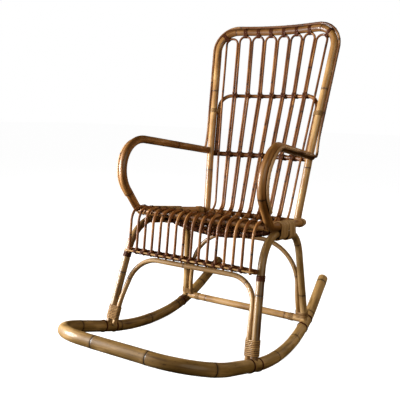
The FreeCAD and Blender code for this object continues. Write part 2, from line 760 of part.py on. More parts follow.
def top_rail_wraps():
    """Wraps that hold each hairpin's crown to the top rail or to its corner."""
    half_width = TOP_WRAP_TURNS * (WRAP_PEEL + PEEL_GAP) / 2 + WRAP_PEEL / 2
    crown_drop = BACK_RADIUS + SPINDLE_RADIUS + SEAT_CLEARANCE
    crown_sag = half_width ** 2 / (2 * CROWN_RADIUS)
    corner_sag = half_width ** 2 / (2 * BACK_TOP_BEND)
    bound = [(0, 0, BACK_RADIUS), (-crown_drop - crown_sag, 0, SPINDLE_RADIUS)]
    corner_crown = (-crown_drop - crown_sag - CORNER_CROWN_SLACK, 0, SPINDLE_RADIUS)
    corner_bound = bound + [(-corner_sag, 0, BACK_RADIUS), corner_crown]
    wraps = []
    for number in range(HAIRPINS):
        x, drop = crown_place(number)
        if abs(x) > TOP_CORNER.Center.x:
            corner = (TOP_EDGES[0] if x > 0 else TOP_EDGES[-1]).Curve
            towards = crown_spot(x, drop) - corner.Center
            across = unit(towards - corner.Axis * towards.dot(corner.Axis))
            centre = corner.Center + across * corner.Radius
            wraps.append(winding(centre, across.cross(corner.Axis), across, corner_bound, TOP_WRAP_TURNS, WRAP_PEEL))
        else:
            centre, heading = place_on(TOP_EDGES, ACROSS, x)
            wraps.append(winding(centre, heading, BACK_RISE, bound, TOP_WRAP_TURNS, WRAP_PEEL))
    return Part.makeCompound(wraps)


# Back bar wraps
def upper_bar_wraps():
    wraps = []
    for side in (1, -1):
        centre = flip(at_height(BACK_BEND, BACK_TOP, UPPER_WRAP_HEIGHT), side)
        rise = flip(POST_RISE, side)
        across = flip(POST_INWARD, side)
        sideways = rise.cross(across)
        leg = flip(upper_bar_leg(UPPER_WRAP_HEIGHT), side) - centre
        bound = [(0, 0, BACK_RADIUS), (leg.dot(across), leg.dot(sideways), UPPER_BAR_RADIUS)]
        wraps.append(winding(centre, rise, across, bound, END_WRAP_TURNS, WRAP_PEEL))
    return Part.makeCompound(wraps)


# Lashings: strands that cross a bar aslant and hold the rods to it
def lashing(centre, along_bar, along_rod, outward, bar_radius, rod_half_width, front):
    """Slanting loop round a bar and what lies before it, out to front; centre is on the rods' axes."""
    slant = unit(unit(along_bar) + unit(along_rod))
    axis = unit(slant.cross(outward))
    margin = LASHING_TURNS * (LASHING_PEEL + PEEL_GAP) / 2 + LASHING_PEEL / 2
    wide = max(rod_half_width, bar_radius) * math.sqrt(2) + margin - LASHING_CORNER
    rod_face = front + SEAT_CLEARANCE - LASHING_CORNER
    bar_face = SPINDLE_RADIUS + SEAT_CLEARANCE + 2 * bar_radius - LASHING_CORNER
    bound = [(a, b, LASHING_CORNER) for a in (wide, -wide) for b in (rod_face, -bar_face)]
    sense = 1 if axis.cross(slant).dot(outward) > 0 else -1
    return winding(centre, axis * sense, slant, bound, LASHING_TURNS, LASHING_PEEL)


def pair_centres(half_span):
    """Places across the back where rods of neighbouring hairpins run side by side."""
    pairs = range(1, HAIRPINS)
    return [(fan_x(2 * number - 1, half_span) + fan_x(2 * number, half_span)) / 2 for number in pairs]


def back_lashings(edges, rise, rearward, bar_radius, height):
    loops = []
    half_width = SPINDLE_RADIUS + (SPINDLE_DIAMETER + NEIGHBOUR_GAP) / 2
    for x in pair_centres(half_span_at(height)):
        centre = rod_on_bar(edges, bar_radius, rearward, x)
        along_bar = place_on(edges, ACROSS, x)[1] * -1
        outward = unit(along_bar.cross(rise))
        loops.append(lashing(centre, along_bar, rise, outward, bar_radius, half_width, SPINDLE_RADIUS))
    return Part.makeCompound(loops)


# Apron
APRON_RISE = unit(Vector(0, APRON_CREST_Y - APRON_RAIL_Y + ROD_TO_APRON, APRON_CREST_HEIGHT - APRON_RAIL_HEIGHT))
APRON_OUTWARD = Vector(0, -APRON_RISE.z, APRON_RISE.y)


def apron_lashings():
    loops = []
    front = SPINDLE_RADIUS + COVER_STRIP_DIAMETER + SEAT_CLEARANCE
    for index in range(1, 2 * HAIRPINS - 1):
        centre = Vector(apron_x(index), APRON_RAIL_Y, APRON_RAIL_HEIGHT) + APRON_OUTWARD * ROD_TO_APRON
        loops.append(lashing(centre, ACROSS, APRON_RISE, APRON_OUTWARD, APRON_RAIL_RADIUS, SPINDLE_RADIUS, front))
    return Part.makeCompound(loops)


def apron_rail_pole():
    ends = []
    for side in (1, -1):
        leg = place_on(leg_edges(side), UP, APRON_RAIL_HEIGHT)[0]
        ends.append(Vector(leg.x, APRON_RAIL_Y, APRON_RAIL_HEIGHT))
    return pole(ends, [], APRON_RAIL_RADIUS)


def cover_strip():
    reach = apron_x(2 * HAIRPINS - 1) + COVER_STRIP_SHORT
    depth = ROD_TO_APRON + SPINDLE_RADIUS + COVER_STRIP_RADIUS + SEAT_CLEARANCE
    middle = Vector(0, APRON_RAIL_Y, APRON_RAIL_HEIGHT) + APRON_OUTWARD * depth
    return pole([middle + ACROSS * reach, middle - ACROSS * reach], [], COVER_STRIP_RADIUS)


def apron_end_wraps():
    """Wraps round each front leg, just below the apron rail."""
    half_width = END_WRAP_TURNS * (WRAP_PEEL + PEEL_GAP) / 2 + WRAP_PEEL / 2
    height = APRON_RAIL_HEIGHT - APRON_RAIL_RADIUS - half_width - WRAP_PEEL
    wraps = []
    for side in (1, -1):
        edges = leg_edges(side)
        centre, heading = place_on(edges, UP, height)
        across = unit(REARWARD - heading * heading.dot(REARWARD))
        sideways = heading.cross(across)
        bound = [(0, 0, LEG_RADIUS)]
        for shift in (-half_width, half_width):
            spot = place_on(edges, UP, (centre + heading * shift).z)[0] - centre
            bound.append((spot.dot(across), spot.dot(sideways), LEG_RADIUS))
        wraps.append(winding(centre, heading, across, bound, END_WRAP_TURNS, WRAP_PEEL))
    return Part.makeCompound(wraps)


def stretcher_wraps():
    wraps = []
    for side in (1, -1):
        centre = runner_place(REAR_FOOT, side)[0] + Vector(0, STRETCHER_SETBACK, STRETCHER_LIFT)
        centre.x -= side * STRETCHER_WRAP_INSET
        wraps.append(winding(centre, ACROSS, UP, [(0, 0, STRETCHER_RADIUS)], END_WRAP_TURNS, WRAP_PEEL))
    return Part.makeCompound(wraps)


def cross_rod(place):
    """Dished rod under the seat, sagging between the side rails."""
    y, height, radius = place
    reach = at_depth(RAIL_FRONT, RAIL_REAR, y).x
    ends = [Vector(side * reach, y, cross_rod_height(place, reach)) for side in (1, -1)]
    bow = Part.Arc(ends[0], Vector(0, y, height), ends[1]).toShape()
    return tube([bow], CROSS_ROD_RADIUS)


def rail_between(point, radius, extra=0.0):
    return pole([flip(point, 1), flip(point, -1)], [], radius + extra)


def main():
    os.makedirs("parts", exist_ok=True)
    runner_room = runner_pole(SEAT_CLEARANCE)
    stretcher_room = stretcher_pole(SEAT_CLEARANCE)
    rear_rail_room = rail_between(REAR_RAIL, REAR_RAIL_RADIUS, SEAT_CLEARANCE)
    rail_rooms = [rail_stub(side) for name, side in SIDES]
    leg_rooms = [leg_pole(side, SEAT_CLEARANCE) for name, side in SIDES]
    arm_rooms = [arm_pole(side, SEAT_CLEARANCE) for name, side in SIDES]
    lower_bar_room = tube(LOWER_EDGES, LOWER_BAR_RADIUS + SEAT_CLEARANCE)

    tips = [rocker_points(side)[0] for name, side in SIDES]
    export(round_ends(runner_pole(), tips, RUNNER_TIP_ROUNDING), "runner")
    export(cope(stretcher_pole(), runner_room, *leg_rooms), "rear_stretcher")
    front_arch = arch_pole(True, ARCH_FOOT_LIFT, FRONT_ARCH_HALF_WIDTH, FRONT_ARCH_Y, FRONT_ARCH_HEIGHT,
                           FRONT_ARCH_BEND)
    export(cope(front_arch, runner_room), "front_arch")
    rear_lift = STRETCHER_LIFT + STRETCHER_RADIUS / 2
    rear_arch = arch_pole(False, rear_lift, REAR_ARCH_HALF_WIDTH, REAR_ARCH_Y, REAR_ARCH_HEIGHT, REAR_ARCH_BEND)
    export(cope(rear_arch, runner_room, stretcher_room), "rear_arch")
    for name, side in SIDES:
        export(cope(leg_pole(side), runner_room), "leg_arch_" + name)
        arm = cope(arm_pole(side), post_stub(side))
        export(round_ends(arm, [flip(RAIL_REAR, side)], RAIL_END_ROUNDING), "arm_" + name)
        export(seat_binding(side), "seat_binding_" + name)
        export(foot_winding(side, True, FRONT_FOOT_TURNS), "foot_winding_front_" + name)
        export(foot_winding(side, False, REAR_FOOT_TURNS), "foot_winding_rear_" + name)

    export(cope(back_pole(), rear_rail_room, *rail_rooms), "back_frame")
    export(cope(tube(UPPER_EDGES, UPPER_BAR_RADIUS), lower_bar_room), "upper_back_bar")
    back_room = back_pole(SEAT_CLEARANCE)
    export(cope(tube(LOWER_EDGES, LOWER_BAR_RADIUS), back_room), "lower_back_bar")
    export(cope(rail_between(REAR_RAIL, REAR_RAIL_RADIUS), *rail_rooms), "seat_rear_rail")
    export(cope(rail_between(RAIL_FRONT, FRONT_RAIL_RADIUS), *arm_rooms), "seat_front_rail")
    for name, place in zip(("front", "rear"), CROSS_ROD_PLACES):
        export(cope(cross_rod(place), *rail_rooms, *leg_rooms), "seat_cross_rod_" + name)
    for number in range(HAIRPINS):
        export(hairpin(number), "spindle_" + str(number + 1))

    export(cope(apron_rail_pole(), *leg_rooms), "apron_rail")
    export(cover_strip(), "apron_cover_strip")
    export(welt_rod(), "welt")
    export(runner_straps(), "runner_straps")
    export(top_rail_wraps(), "top_rail_wraps")
    export(upper_bar_wraps(), "upper_bar_wraps")
    export(apron_end_wraps(), "apron_end_wraps")
    export(stretcher_wraps(), "stretcher_wraps")
    upper = back_lashings(UPPER_EDGES[1:-1], BACK_RISE, BACK_REARWARD, UPPER_BAR_RADIUS, UPPER_BAR_HEIGHT)
    export(upper, "upper_bar_lashings")
    lower = back_lashings(LOWER_EDGES, LOWER_RISE, LOWER_REARWARD, LOWER_BAR_RADIUS, LOWER_BAR_HEIGHT)
    export(lower, "lower_bar_lashings")
    export(apron_lashings(), "apron_lashings")
    print("least gap of a winding to itself:", round(min(WINDING_GAPS), 2), "mm")


main()
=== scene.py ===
# %% [markdown]
# # A bamboo rocking chair
# The chair is made of bent poles, long thin rods and wound peel. Blender's curve objects could draw them,
# but their grain would not know how far along a pole it is. So this lesson works out the path of every
# pole as a maker bends it, and rolls a mesh along it that knows its own length, joints and tone.

# %% Load the frame
import bisect
import bmesh
import bpy
import itertools
import math
from collections import namedtuple
from mathutils import Matrix, Vector, noise


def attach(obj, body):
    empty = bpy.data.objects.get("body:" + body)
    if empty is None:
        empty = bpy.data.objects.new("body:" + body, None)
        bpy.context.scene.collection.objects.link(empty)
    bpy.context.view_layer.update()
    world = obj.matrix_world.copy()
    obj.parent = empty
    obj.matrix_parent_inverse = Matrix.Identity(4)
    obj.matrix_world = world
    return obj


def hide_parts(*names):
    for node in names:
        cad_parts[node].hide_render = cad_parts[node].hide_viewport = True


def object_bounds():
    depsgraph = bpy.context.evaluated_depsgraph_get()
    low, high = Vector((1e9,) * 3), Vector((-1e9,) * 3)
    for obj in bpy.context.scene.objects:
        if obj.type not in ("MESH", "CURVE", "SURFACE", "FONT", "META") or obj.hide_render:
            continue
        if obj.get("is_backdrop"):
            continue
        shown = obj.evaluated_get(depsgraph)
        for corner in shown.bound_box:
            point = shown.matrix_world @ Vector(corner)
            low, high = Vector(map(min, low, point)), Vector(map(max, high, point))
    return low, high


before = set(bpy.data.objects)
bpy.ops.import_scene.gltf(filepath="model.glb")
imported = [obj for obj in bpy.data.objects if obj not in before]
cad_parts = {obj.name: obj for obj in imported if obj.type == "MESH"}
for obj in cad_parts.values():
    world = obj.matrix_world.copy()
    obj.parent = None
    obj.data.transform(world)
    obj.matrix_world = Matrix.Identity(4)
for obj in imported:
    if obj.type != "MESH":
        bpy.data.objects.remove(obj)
cad_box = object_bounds()
print("solid model from", cad_box[0], "to", cad_box[1])

# %% [markdown]
# ## Units and directions
# Lengths are in millimetres, as on a workshop drawing, and each mesh becomes metres as it is made. The
# values are those of the solid model, so a pole comes out where its solid is. Sizes could be read from
# the solids instead, but a named size tells a reader more. The chair faces -Y, and left is the sitter's.

# %% Units and directions
MM = 0.001
ACROSS = Vector((1, 0, 0))
REARWARD = Vector((0, 1, 0))
UP = Vector((0, 0, 1))
SIDES = (("left", 1), ("right", -1))
SEAT_CLEARANCE = 0.3
print("solids that touch stand", SEAT_CLEARANCE, "mm apart")

# %% [markdown]
# ## Bent paths
# A maker heats a straight pole and bends it round a form, so its line is straight runs joined by arcs.
# A Bezier curve would only come near that. Here each corner gives way to an arc that is tangent to both
# of its runs, and where two arcs want more of a run than it has, both are made smaller.

# %% Runs and arcs
Stretch = namedtuple("Stretch", "length start heading inward radius")
RUN_SHARE = 0.99


def bend_corners(corners, bends):
    """Runs and tangent arcs through the corners. A run has no inward direction."""
    runs = [(after - before).length for before, after in zip(corners, corners[1:])]
    half_turns = []
    for before, corner, after in zip(corners, corners[1:], corners[2:]):
        half_turns.append((math.pi - (before - corner).angle(after - corner)) / 2)
    wanted = [bend * math.tan(half_turn) for bend, half_turn in zip(bends, half_turns)]
    needs = [first + second for first, second in zip([0.0] + wanted, wanted + [0.0])]
    shares = [min(1.0, RUN_SHARE * run / need) if need else 1.0 for run, need in zip(runs, needs)]
    stretches = []
    here = corners[0]
    for index, half_turn in enumerate(half_turns, start=1):
        corner = corners[index]
        back = (corners[index - 1] - corner).normalized()
        ahead = (corners[index + 1] - corner).normalized()
        reach = wanted[index - 1] * min(shares[index - 1], shares[index])
        start = corner + back * reach
        stretches.append(Stretch((start - here).length, here, -back, None, 0.0))
        inward = (ahead + back * ahead.dot(-back)).normalized()
        radius = reach / math.tan(half_turn)
        stretches.append(Stretch(2 * half_turn * radius, start, -back, inward, radius))
        here = corner + ahead * reach
    heading = (corners[-1] - corners[-2]).normalized()
    stretches.append(Stretch((corners[-1] - here).length, here, heading, None, 0.0))
    return stretches


square_corner = [ACROSS * 100, Vector(), REARWARD * 100]
print("a square corner bends into", [round(part.length, 1) for part in bend_corners(square_corner, [40])])

# %% A path to walk along
HALVINGS = 30


class BentPath:
    """A bent line that tells the point and the heading at a distance from its start."""

    def __init__(self, corners, bends):
        self.stretches = bend_corners(corners, bends)
        self.ends = list(itertools.accumulate(stretch.length for stretch in self.stretches))
        self.length = self.ends[-1]

    def within(self, stretch, distance):
        """Point and heading at a distance from the start of one run or arc."""
        start, heading, inward, radius = stretch[1:]
        if inward is None:
            return start + heading * distance, heading
        turn = distance / radius
        spot = start + heading * (radius * math.sin(turn)) + inward * (radius * (1 - math.cos(turn)))
        return spot, heading * math.cos(turn) + inward * math.sin(turn)

    def at(self, distance):
        index = min(bisect.bisect_left(self.ends, distance), len(self.stretches) - 1)
        stretch = self.stretches[index]
        return self.within(stretch, distance - self.ends[index] + stretch.length)

    def first(self, axis, value, span=slice(None)):
        """Point and heading where the path first comes to a value along the axis."""
        for stretch in self.stretches[span]:
            low, high = 0.0, stretch.length
            before = self.within(stretch, low)[0].dot(axis) - value
            if before * (self.within(stretch, high)[0].dot(axis) - value) <= 0:
                for halving in range(HALVINGS):
                    middle = (low + high) / 2
                    if (self.within(stretch, middle)[0].dot(axis) - value) * before > 0:
                        low = middle
                    else:
                        high = middle
                return self.within(stretch, high)
        raise ValueError("the path does not come to this value")

    def stations(self, run_step, turn_step):
        """Distances at which rings are set, wide on runs and close on arcs."""
        marks = [0.0]
        for stretch, end in zip(self.stretches, self.ends):
            parts = max(math.ceil(stretch.length / run_step), 1)
            if stretch.inward is not None:
                parts = max(parts, math.ceil(stretch.length / stretch.radius / turn_step))
            for part in range(1, parts + 1):
                marks.append(end - stretch.length + stretch.length * part / parts)
        return marks


square_path = BentPath(square_corner, [40])
print("halfway along that corner is", square_path.at(square_path.length / 2)[0])

# %% Mirrored halves and points on a line
def flip(point, side):
    return Vector((point.x * side, point.y, point.z))


def mirrored(half, middle=()):
    """Half of a pole's corners, those in the middle, and the half again on the other side."""
    return list(half) + list(middle) + [flip(point, -1) for point in reversed(half)]


def across_to(end):
    """Straight path from an end on the left to its mirror image on the right."""
    return BentPath([end, flip(end, -1)], [])


def at_height(start, end, height):
    return start.lerp(end, (height - start.z) / (end.z - start.z))


def at_depth(start, end, y):
    return start.lerp(end, (y - start.y) / (end.y - start.y))


print("a pole of two corners mirrors into", len(mirrored(square_corner[:2])))

# %% [markdown]
# ## Runner
# One thick pole makes both rockers and the bar in front. Its soles are large arcs on which the chair
# rolls, with a short flat where it rests. A bent cylinder could follow one arc, but the front corners
# turn in two directions at once, which tangent arcs through corners in space do by themselves.

# %% Path of the runner
RUNNER_RADIUS = 18.0
RUNNER_FRONT, RUNNER_REAR = 585.5, 400.0
FRONT_ROCK, REAR_ROCK, CORNER_BEND = 940.0, 610.0, 150.0
FRONT_RISE, REAR_RISE = math.radians(17.8), math.radians(26.5)
TIP_X, REAR_SOLE_X, FRONT_SOLE_X, CORNER_X = 229.0, 247.0, 260.0, 257.0
SOLE_FLAT = 8.0
front_tangent = SOLE_FLAT / 2 + FRONT_ROCK * math.tan(FRONT_RISE / 2)
rear_tangent = SOLE_FLAT / 2 + REAR_ROCK * math.tan(REAR_RISE / 2)
tip_height = RUNNER_RADIUS + (RUNNER_REAR - rear_tangent) * math.tan(REAR_RISE)
bar_height = RUNNER_RADIUS + (RUNNER_FRONT - front_tangent) * math.tan(FRONT_RISE)
rocker = [Vector((TIP_X, RUNNER_REAR, tip_height)),
          Vector((REAR_SOLE_X, rear_tangent, RUNNER_RADIUS)),
          Vector((FRONT_SOLE_X, -front_tangent, RUNNER_RADIUS)),
          Vector((CORNER_X, -RUNNER_FRONT, bar_height))]
rocker_bends = [REAR_ROCK, FRONT_ROCK, CORNER_BEND]
runner_path = BentPath(mirrored(rocker), rocker_bends + rocker_bends[::-1])


def runner_place(y, side):
    """Point and heading of one rocker at a depth."""
    spot, heading = runner_path.first(REARWARD, y)
    return flip(spot, side), flip(heading, side)


print("runner pole is", round(runner_path.length), "mm long")

# %% [markdown]
# ## Arms
# Each arm pole is arm rest, front loop and side rail of the seat in one. Its rear end lands on the back
# post, so its depth there is worked out on the post's line and not typed twice. Drawing the two arms
# apart would let them drift, so one function gives either side.

# %% Path of an arm
ARM_RADIUS = 13.0
ARM_TOP, ARM_FORE = Vector((246.0, -198.0, 675.0)), Vector((240.6, -277.0, 565.0))
RAIL_FRONT, RAIL_REAR = Vector((237.0, -173.0, 432.0)), Vector((199.8, 219.0, 384.0))
RAIL_HEADING = (RAIL_REAR - RAIL_FRONT).normalized()
REAR_RAIL = at_depth(RAIL_FRONT, RAIL_REAR, 197.0)
BACK_FOOT = Vector((184.0, REAR_RAIL.y, REAR_RAIL.z))
BACK_BEND, BACK_TOP = Vector((201.5, 244.5, 620.0)), Vector((241.5, 367.0, 1085.5))
ARM_REAR_X, ARM_REAR_HEIGHT = 210.0, 617.0
ARM_REAR = Vector((ARM_REAR_X, at_height(BACK_FOOT, BACK_BEND, ARM_REAR_HEIGHT).y, ARM_REAR_HEIGHT))
ARM_TOP_BEND, ARM_FORE_BEND, RAIL_BEND = 102.0, 97.0, 60.0


def arm_path(side):
    corners = [flip(point, side) for point in (ARM_REAR, ARM_TOP, ARM_FORE, RAIL_FRONT, RAIL_REAR)]
    return BentPath(corners, [ARM_TOP_BEND, ARM_FORE_BEND, RAIL_BEND])


print("arm poles are", round(arm_path(1).length), "mm long")

# %% [markdown]
# ## Legs and braces
# A leg arch is front leg, crown and rear leg in one, and the side rail of the seat rests on its crown.
# Thinner arches brace the legs across, their feet bound to the insides of the legs. The feet could be
# placed by eye, but they stand on the runner, so the runner's own path gives their points.

# %% Path of a leg arch
LEG_RADIUS = 12.0
FRONT_FOOT, REAR_FOOT = 298.5, 157.0
LEG_REST_Y, LEG_TOP_FALL = -92.5, 0.166
LEG_TOPS = ((229.0, -191.5), (218.0, 116.0))
LEG_BENDS = [121.0, 97.0]


def leg_top(x, y):
    """Point on the line of a leg's crown, which touches the side rail from below."""
    rest = at_depth(RAIL_FRONT, RAIL_REAR, LEG_REST_Y)
    drop = (ARM_RADIUS + LEG_RADIUS + SEAT_CLEARANCE) / RAIL_HEADING.y
    return Vector((x, y, rest.z - drop - LEG_TOP_FALL * (y - LEG_REST_Y)))


def leg_corners(side):
    tops = [flip(leg_top(x, y), side) for x, y in LEG_TOPS]
    return [runner_place(-FRONT_FOOT, side)[0], *tops, runner_place(REAR_FOOT, side)[0]]


def leg_path(side):
    return BentPath(leg_corners(side), LEG_BENDS)


print("leg arches are", round(leg_path(1).length), "mm long")

# %% Paths of the braces
ARCH_RADIUS, STRETCHER_RADIUS = 8.0, 12.5
FOOT_SPACING = LEG_RADIUS + ARCH_RADIUS + SEAT_CLEARANCE
ARCH_FOOT_RUN, ARCH_FOOT_BEND = 95.0, 260.0
STRETCHER_SHIFT = Vector((0, 4.0, 12.5))


def foot_frame(side, front):
    """A foot on the runner, the leg's direction there, and the direction of the brace beside it."""
    corners = leg_corners(side) if front else leg_corners(side)[::-1]
    rise = (corners[1] - corners[0]).normalized()
    inward = Vector((-side, 0, 0))
    return corners[0], rise, (inward - rise * inward.dot(rise)).normalized()


def arch_path(front, corner, lift, bend):
    """A brace from leg to leg, whose feet stand a lift above the runner's axis."""
    foot, rise, inward = foot_frame(1, front)
    beside = foot + inward * FOOT_SPACING
    half = [beside + rise * lift, beside + rise * ARCH_FOOT_RUN, corner]
    return BentPath(mirrored(half), [ARCH_FOOT_BEND, bend, bend, ARCH_FOOT_BEND])


front_arch_path = arch_path(True, Vector((212.0, -203.5, 282.0)), lift=8.0, bend=88.0)
rear_arch_path = arch_path(False, Vector((206.0, 162.0, 316.0)), lift=18.75, bend=155.0)
stretcher_path = across_to(runner_place(REAR_FOOT, 1)[0] + STRETCHER_SHIFT)
print("braces are", [round(path.length) for path in (front_arch_path, rear_arch_path, stretcher_path)])

# %% [markdown]
# ## Back frame and its bars
# The back is an upside-down U whose top bows to the rear, with two thinner bars behind the rods. The
# upper bar turns down beside the posts, and the lower one is a plain bow. They could be set by eye, but
# each stands back by its own and the rods' radius, so that rods and bars touch without cutting in.

# %% Path of the back frame
BACK_RADIUS = 13.0
BACK_BEND_RADIUS, BACK_TOP_BEND, TOP_BOW_BEND = 700.0, 76.0, 900.0
TOP_BOW = 36.0
TOP_SPAN = slice(3, -3)


def rise_between(low, high):
    """Direction from one point up to another, seen from the side."""
    return Vector((0, high.y - low.y, high.z - low.z)).normalized()


def behind(rise):
    """Direction square to a rise, to the rear."""
    return Vector((0, rise.z, -rise.y))


BACK_RISE, LOWER_RISE = rise_between(BACK_BEND, BACK_TOP), rise_between(BACK_FOOT, BACK_BEND)
BACK_REARWARD, LOWER_REARWARD = behind(BACK_RISE), behind(LOWER_RISE)
TOP_MIDDLE = Vector((0, BACK_TOP.y, BACK_TOP.z)) + BACK_REARWARD * TOP_BOW
post_bends = [BACK_BEND_RADIUS, BACK_TOP_BEND]
back_path = BentPath(mirrored([BACK_FOOT, BACK_BEND, BACK_TOP], [TOP_MIDDLE]),
                     post_bends + [TOP_BOW_BEND] + post_bends[::-1])
print("back frame is", round(back_path.length), "mm long")

# %% Paths of the bars
ROD_RADIUS = 4.0
ROD_TOUCH = ROD_RADIUS + SEAT_CLEARANCE
UPPER_BAR_RADIUS, LOWER_BAR_RADIUS = 7.0, 9.0
UPPER_BAR_HEIGHT, LOWER_BAR_HEIGHT = 833.0, 608.0
UPPER_BOW, LOWER_BOW = 70.0, 38.0
UPPER_BENDS, LOWER_BENDS = [50.0, 350.0, 50.0], [500.0]
UPPER_SPAN, WHOLE_SPAN = slice(1, -1), slice(None)
POST_RISE = (BACK_TOP - BACK_BEND).normalized()
POST_INWARD = (POST_RISE * POST_RISE.x - ACROSS).normalized()
upper_setback, lower_setback = UPPER_BAR_RADIUS + ROD_TOUCH, LOWER_BAR_RADIUS + ROD_TOUCH
upper_inset = math.sqrt((BACK_RADIUS + UPPER_BAR_RADIUS + SEAT_CLEARANCE) ** 2 - upper_setback ** 2)


def upper_bar_leg(height):
    """Point of the upper bar where it runs down beside a post."""
    post = at_height(BACK_BEND, BACK_TOP, height)
    return post + BACK_REARWARD * upper_setback + POST_INWARD * upper_inset


upper_half = [upper_bar_leg(LOWER_BAR_HEIGHT), upper_bar_leg(UPPER_BAR_HEIGHT)]
upper_middle = Vector((0, upper_half[1].y + UPPER_BOW, upper_half[1].z))
upper_path = BentPath(mirrored(upper_half, [upper_middle]), UPPER_BENDS)
lower_end = at_height(BACK_FOOT, BACK_BEND, LOWER_BAR_HEIGHT) + LOWER_REARWARD * lower_setback
lower_middle = Vector((0, lower_end.y + LOWER_BOW, lower_end.z))
lower_path = BentPath(mirrored([lower_end], [lower_middle]), LOWER_BENDS)
print("bars are", round(upper_path.length), "and", round(lower_path.length), "mm long")

# %% [markdown]
# ## Hairpin rods
# Each rod is one long hairpin: up from the apron, over the seat, up the back, round under the top rail
# and down again. A curve through hand-set points would float over what carries it. So each corner over
# the seat and up the back is worked out from the rail, cross rod or bar that the rod lies on there.

# %% Places of the rods across the chair
HAIRPINS, RODS = 8, 16
NEIGHBOUR_GAP, APRON_PITCH = 0.6, 28.7
BACK_HALF_SPAN, SEAT_REAR_HALF_SPAN = 208.0, 149.0
SPAN_TOP = BACK_TOP - BACK_RISE * (BACK_RADIUS + ROD_TOUCH)


def fan_x(index, half_span):
    """Place of a rod across the back, where rods of neighbouring hairpins run in pairs."""
    pair_step = 2 * ROD_RADIUS + NEIGHBOUR_GAP
    width = (2 * half_span - (HAIRPINS - 1) * pair_step) / HAIRPINS
    return -half_span + (index // 2) * (width + pair_step) + (index % 2) * width


def half_span_at(height):
    """Half the width that the rods take up at a height of the back."""
    share = (height - REAR_RAIL.z) / (SPAN_TOP.z - REAR_RAIL.z)
    return SEAT_REAR_HALF_SPAN + (BACK_HALF_SPAN - SEAT_REAR_HALF_SPAN) * share


def apron_x(index):
    return (index - HAIRPINS + 0.5) * APRON_PITCH


def rod_on_bar(path, span, radius, rearward, x):
    """Axis of a rod where it lies against the front of a back bar, and the bar's heading there."""
    spot, heading = path.first(ACROSS, x, span)
    slope = heading.dot(rearward) / heading.x
    gap = (radius + ROD_TOUCH) * math.sqrt(1 + slope ** 2)
    return spot - rearward * gap, heading


print("rods span", round(2 * apron_x(RODS - 1)), "mm at the apron and", 2 * BACK_HALF_SPAN, "mm at the top")

# %% Crowns under the top rail
CROWN_RADIUS = (fan_x(1, BACK_HALF_SPAN) - fan_x(0, BACK_HALF_SPAN)) / 2
top_bend = back_path.stretches[TOP_SPAN][0]
TOP_CORNER = top_bend.start + top_bend.inward * top_bend.radius
TOP_CORNER_AXIS = top_bend.heading.cross(top_bend.inward)


def crown_place(number):
    """Middle of a hairpin's half-round crown: across, and below the top rail along the back."""
    x = (fan_x(2 * number, BACK_HALF_SPAN) + fan_x(2 * number + 1, BACK_HALF_SPAN)) / 2
    drop = BACK_RADIUS + ROD_TOUCH + CROWN_RADIUS
    beyond = abs(x) - TOP_CORNER.x
    if beyond > 0:
        room = BACK_TOP_BEND - drop
        corner_drop = (BACK_TOP - TOP_CORNER).dot(BACK_RISE)
        drop = max(drop, corner_drop - math.sqrt(room ** 2 - beyond ** 2))
    return x, drop


def crown_spot(x, drop):
    """Point below the top rail that follows the rail's bow."""
    rail = back_path.first(ACROSS, x, TOP_SPAN)[0]
    spot = Vector((x, BACK_TOP.y, BACK_TOP.z)) - BACK_RISE * drop
    return spot + BACK_REARWARD * (rail - BACK_TOP).dot(BACK_REARWARD)


print("crowns have a radius of", round(CROWN_RADIUS, 2), "mm")

# %% What carries a rod over the seat
FRONT_RAIL_RADIUS, REAR_RAIL_RADIUS, CROSS_ROD_RADIUS = 12.0, 10.0, 7.0
CrossRod = namedtuple("CrossRod", "y height bow")
Support = namedtuple("Support", "axis gap bend over")
CROSS_RODS = {"front": CrossRod(-59.5, 364.0, 610.0), "rear": CrossRod(71.5, 357.0, 700.0)}
CREST_BEND, FRONT_RAIL_BEND, CROSS_ROD_BEND, REAR_RAIL_BEND = 45.0, 60.0, 150.0, 55.0
LOWER_BAR_BEND, UPPER_BAR_BEND = 700.0, 80.0
ROD_BENDS = [CREST_BEND, FRONT_RAIL_BEND, CROSS_ROD_BEND, CROSS_ROD_BEND, REAR_RAIL_BEND, LOWER_BAR_BEND,
             UPPER_BAR_BEND]


def cross_rod_height(cross_rod, x):
    """Height of a cross rod's axis, which sags in an arc."""
    return cross_rod.height + cross_rod.bow - math.sqrt(cross_rod.bow ** 2 - x ** 2)


def rod_supports(index):
    """What a rod lies on over the seat. It rides over the front rail and dips on to the others."""
    front_x, rear_x = apron_x(index), fan_x(index, SEAT_REAR_HALF_SPAN)
    front = Vector((front_x, RAIL_FRONT.y, RAIL_FRONT.z))
    supports = [Support(front, FRONT_RAIL_RADIUS + ROD_TOUCH, FRONT_RAIL_BEND, True)]
    for cross_rod in CROSS_RODS.values():
        share = (cross_rod.y - RAIL_FRONT.y) / (REAR_RAIL.y - RAIL_FRONT.y)
        x = front_x + (rear_x - front_x) * share
        steepness = cross_rod.bow / math.sqrt(cross_rod.bow ** 2 - x ** 2)
        axis = Vector((x, cross_rod.y, cross_rod_height(cross_rod, x)))
        supports.append(Support(axis, (CROSS_ROD_RADIUS + ROD_TOUCH) * steepness, CROSS_ROD_BEND, False))
    rear = Vector((rear_x, REAR_RAIL.y, REAR_RAIL.z))
    supports.append(Support(rear, REAR_RAIL_RADIUS + ROD_TOUCH, REAR_RAIL_BEND, False))
    return supports


print("a rod lies on", len(rod_supports(0)), "supports between apron and back")

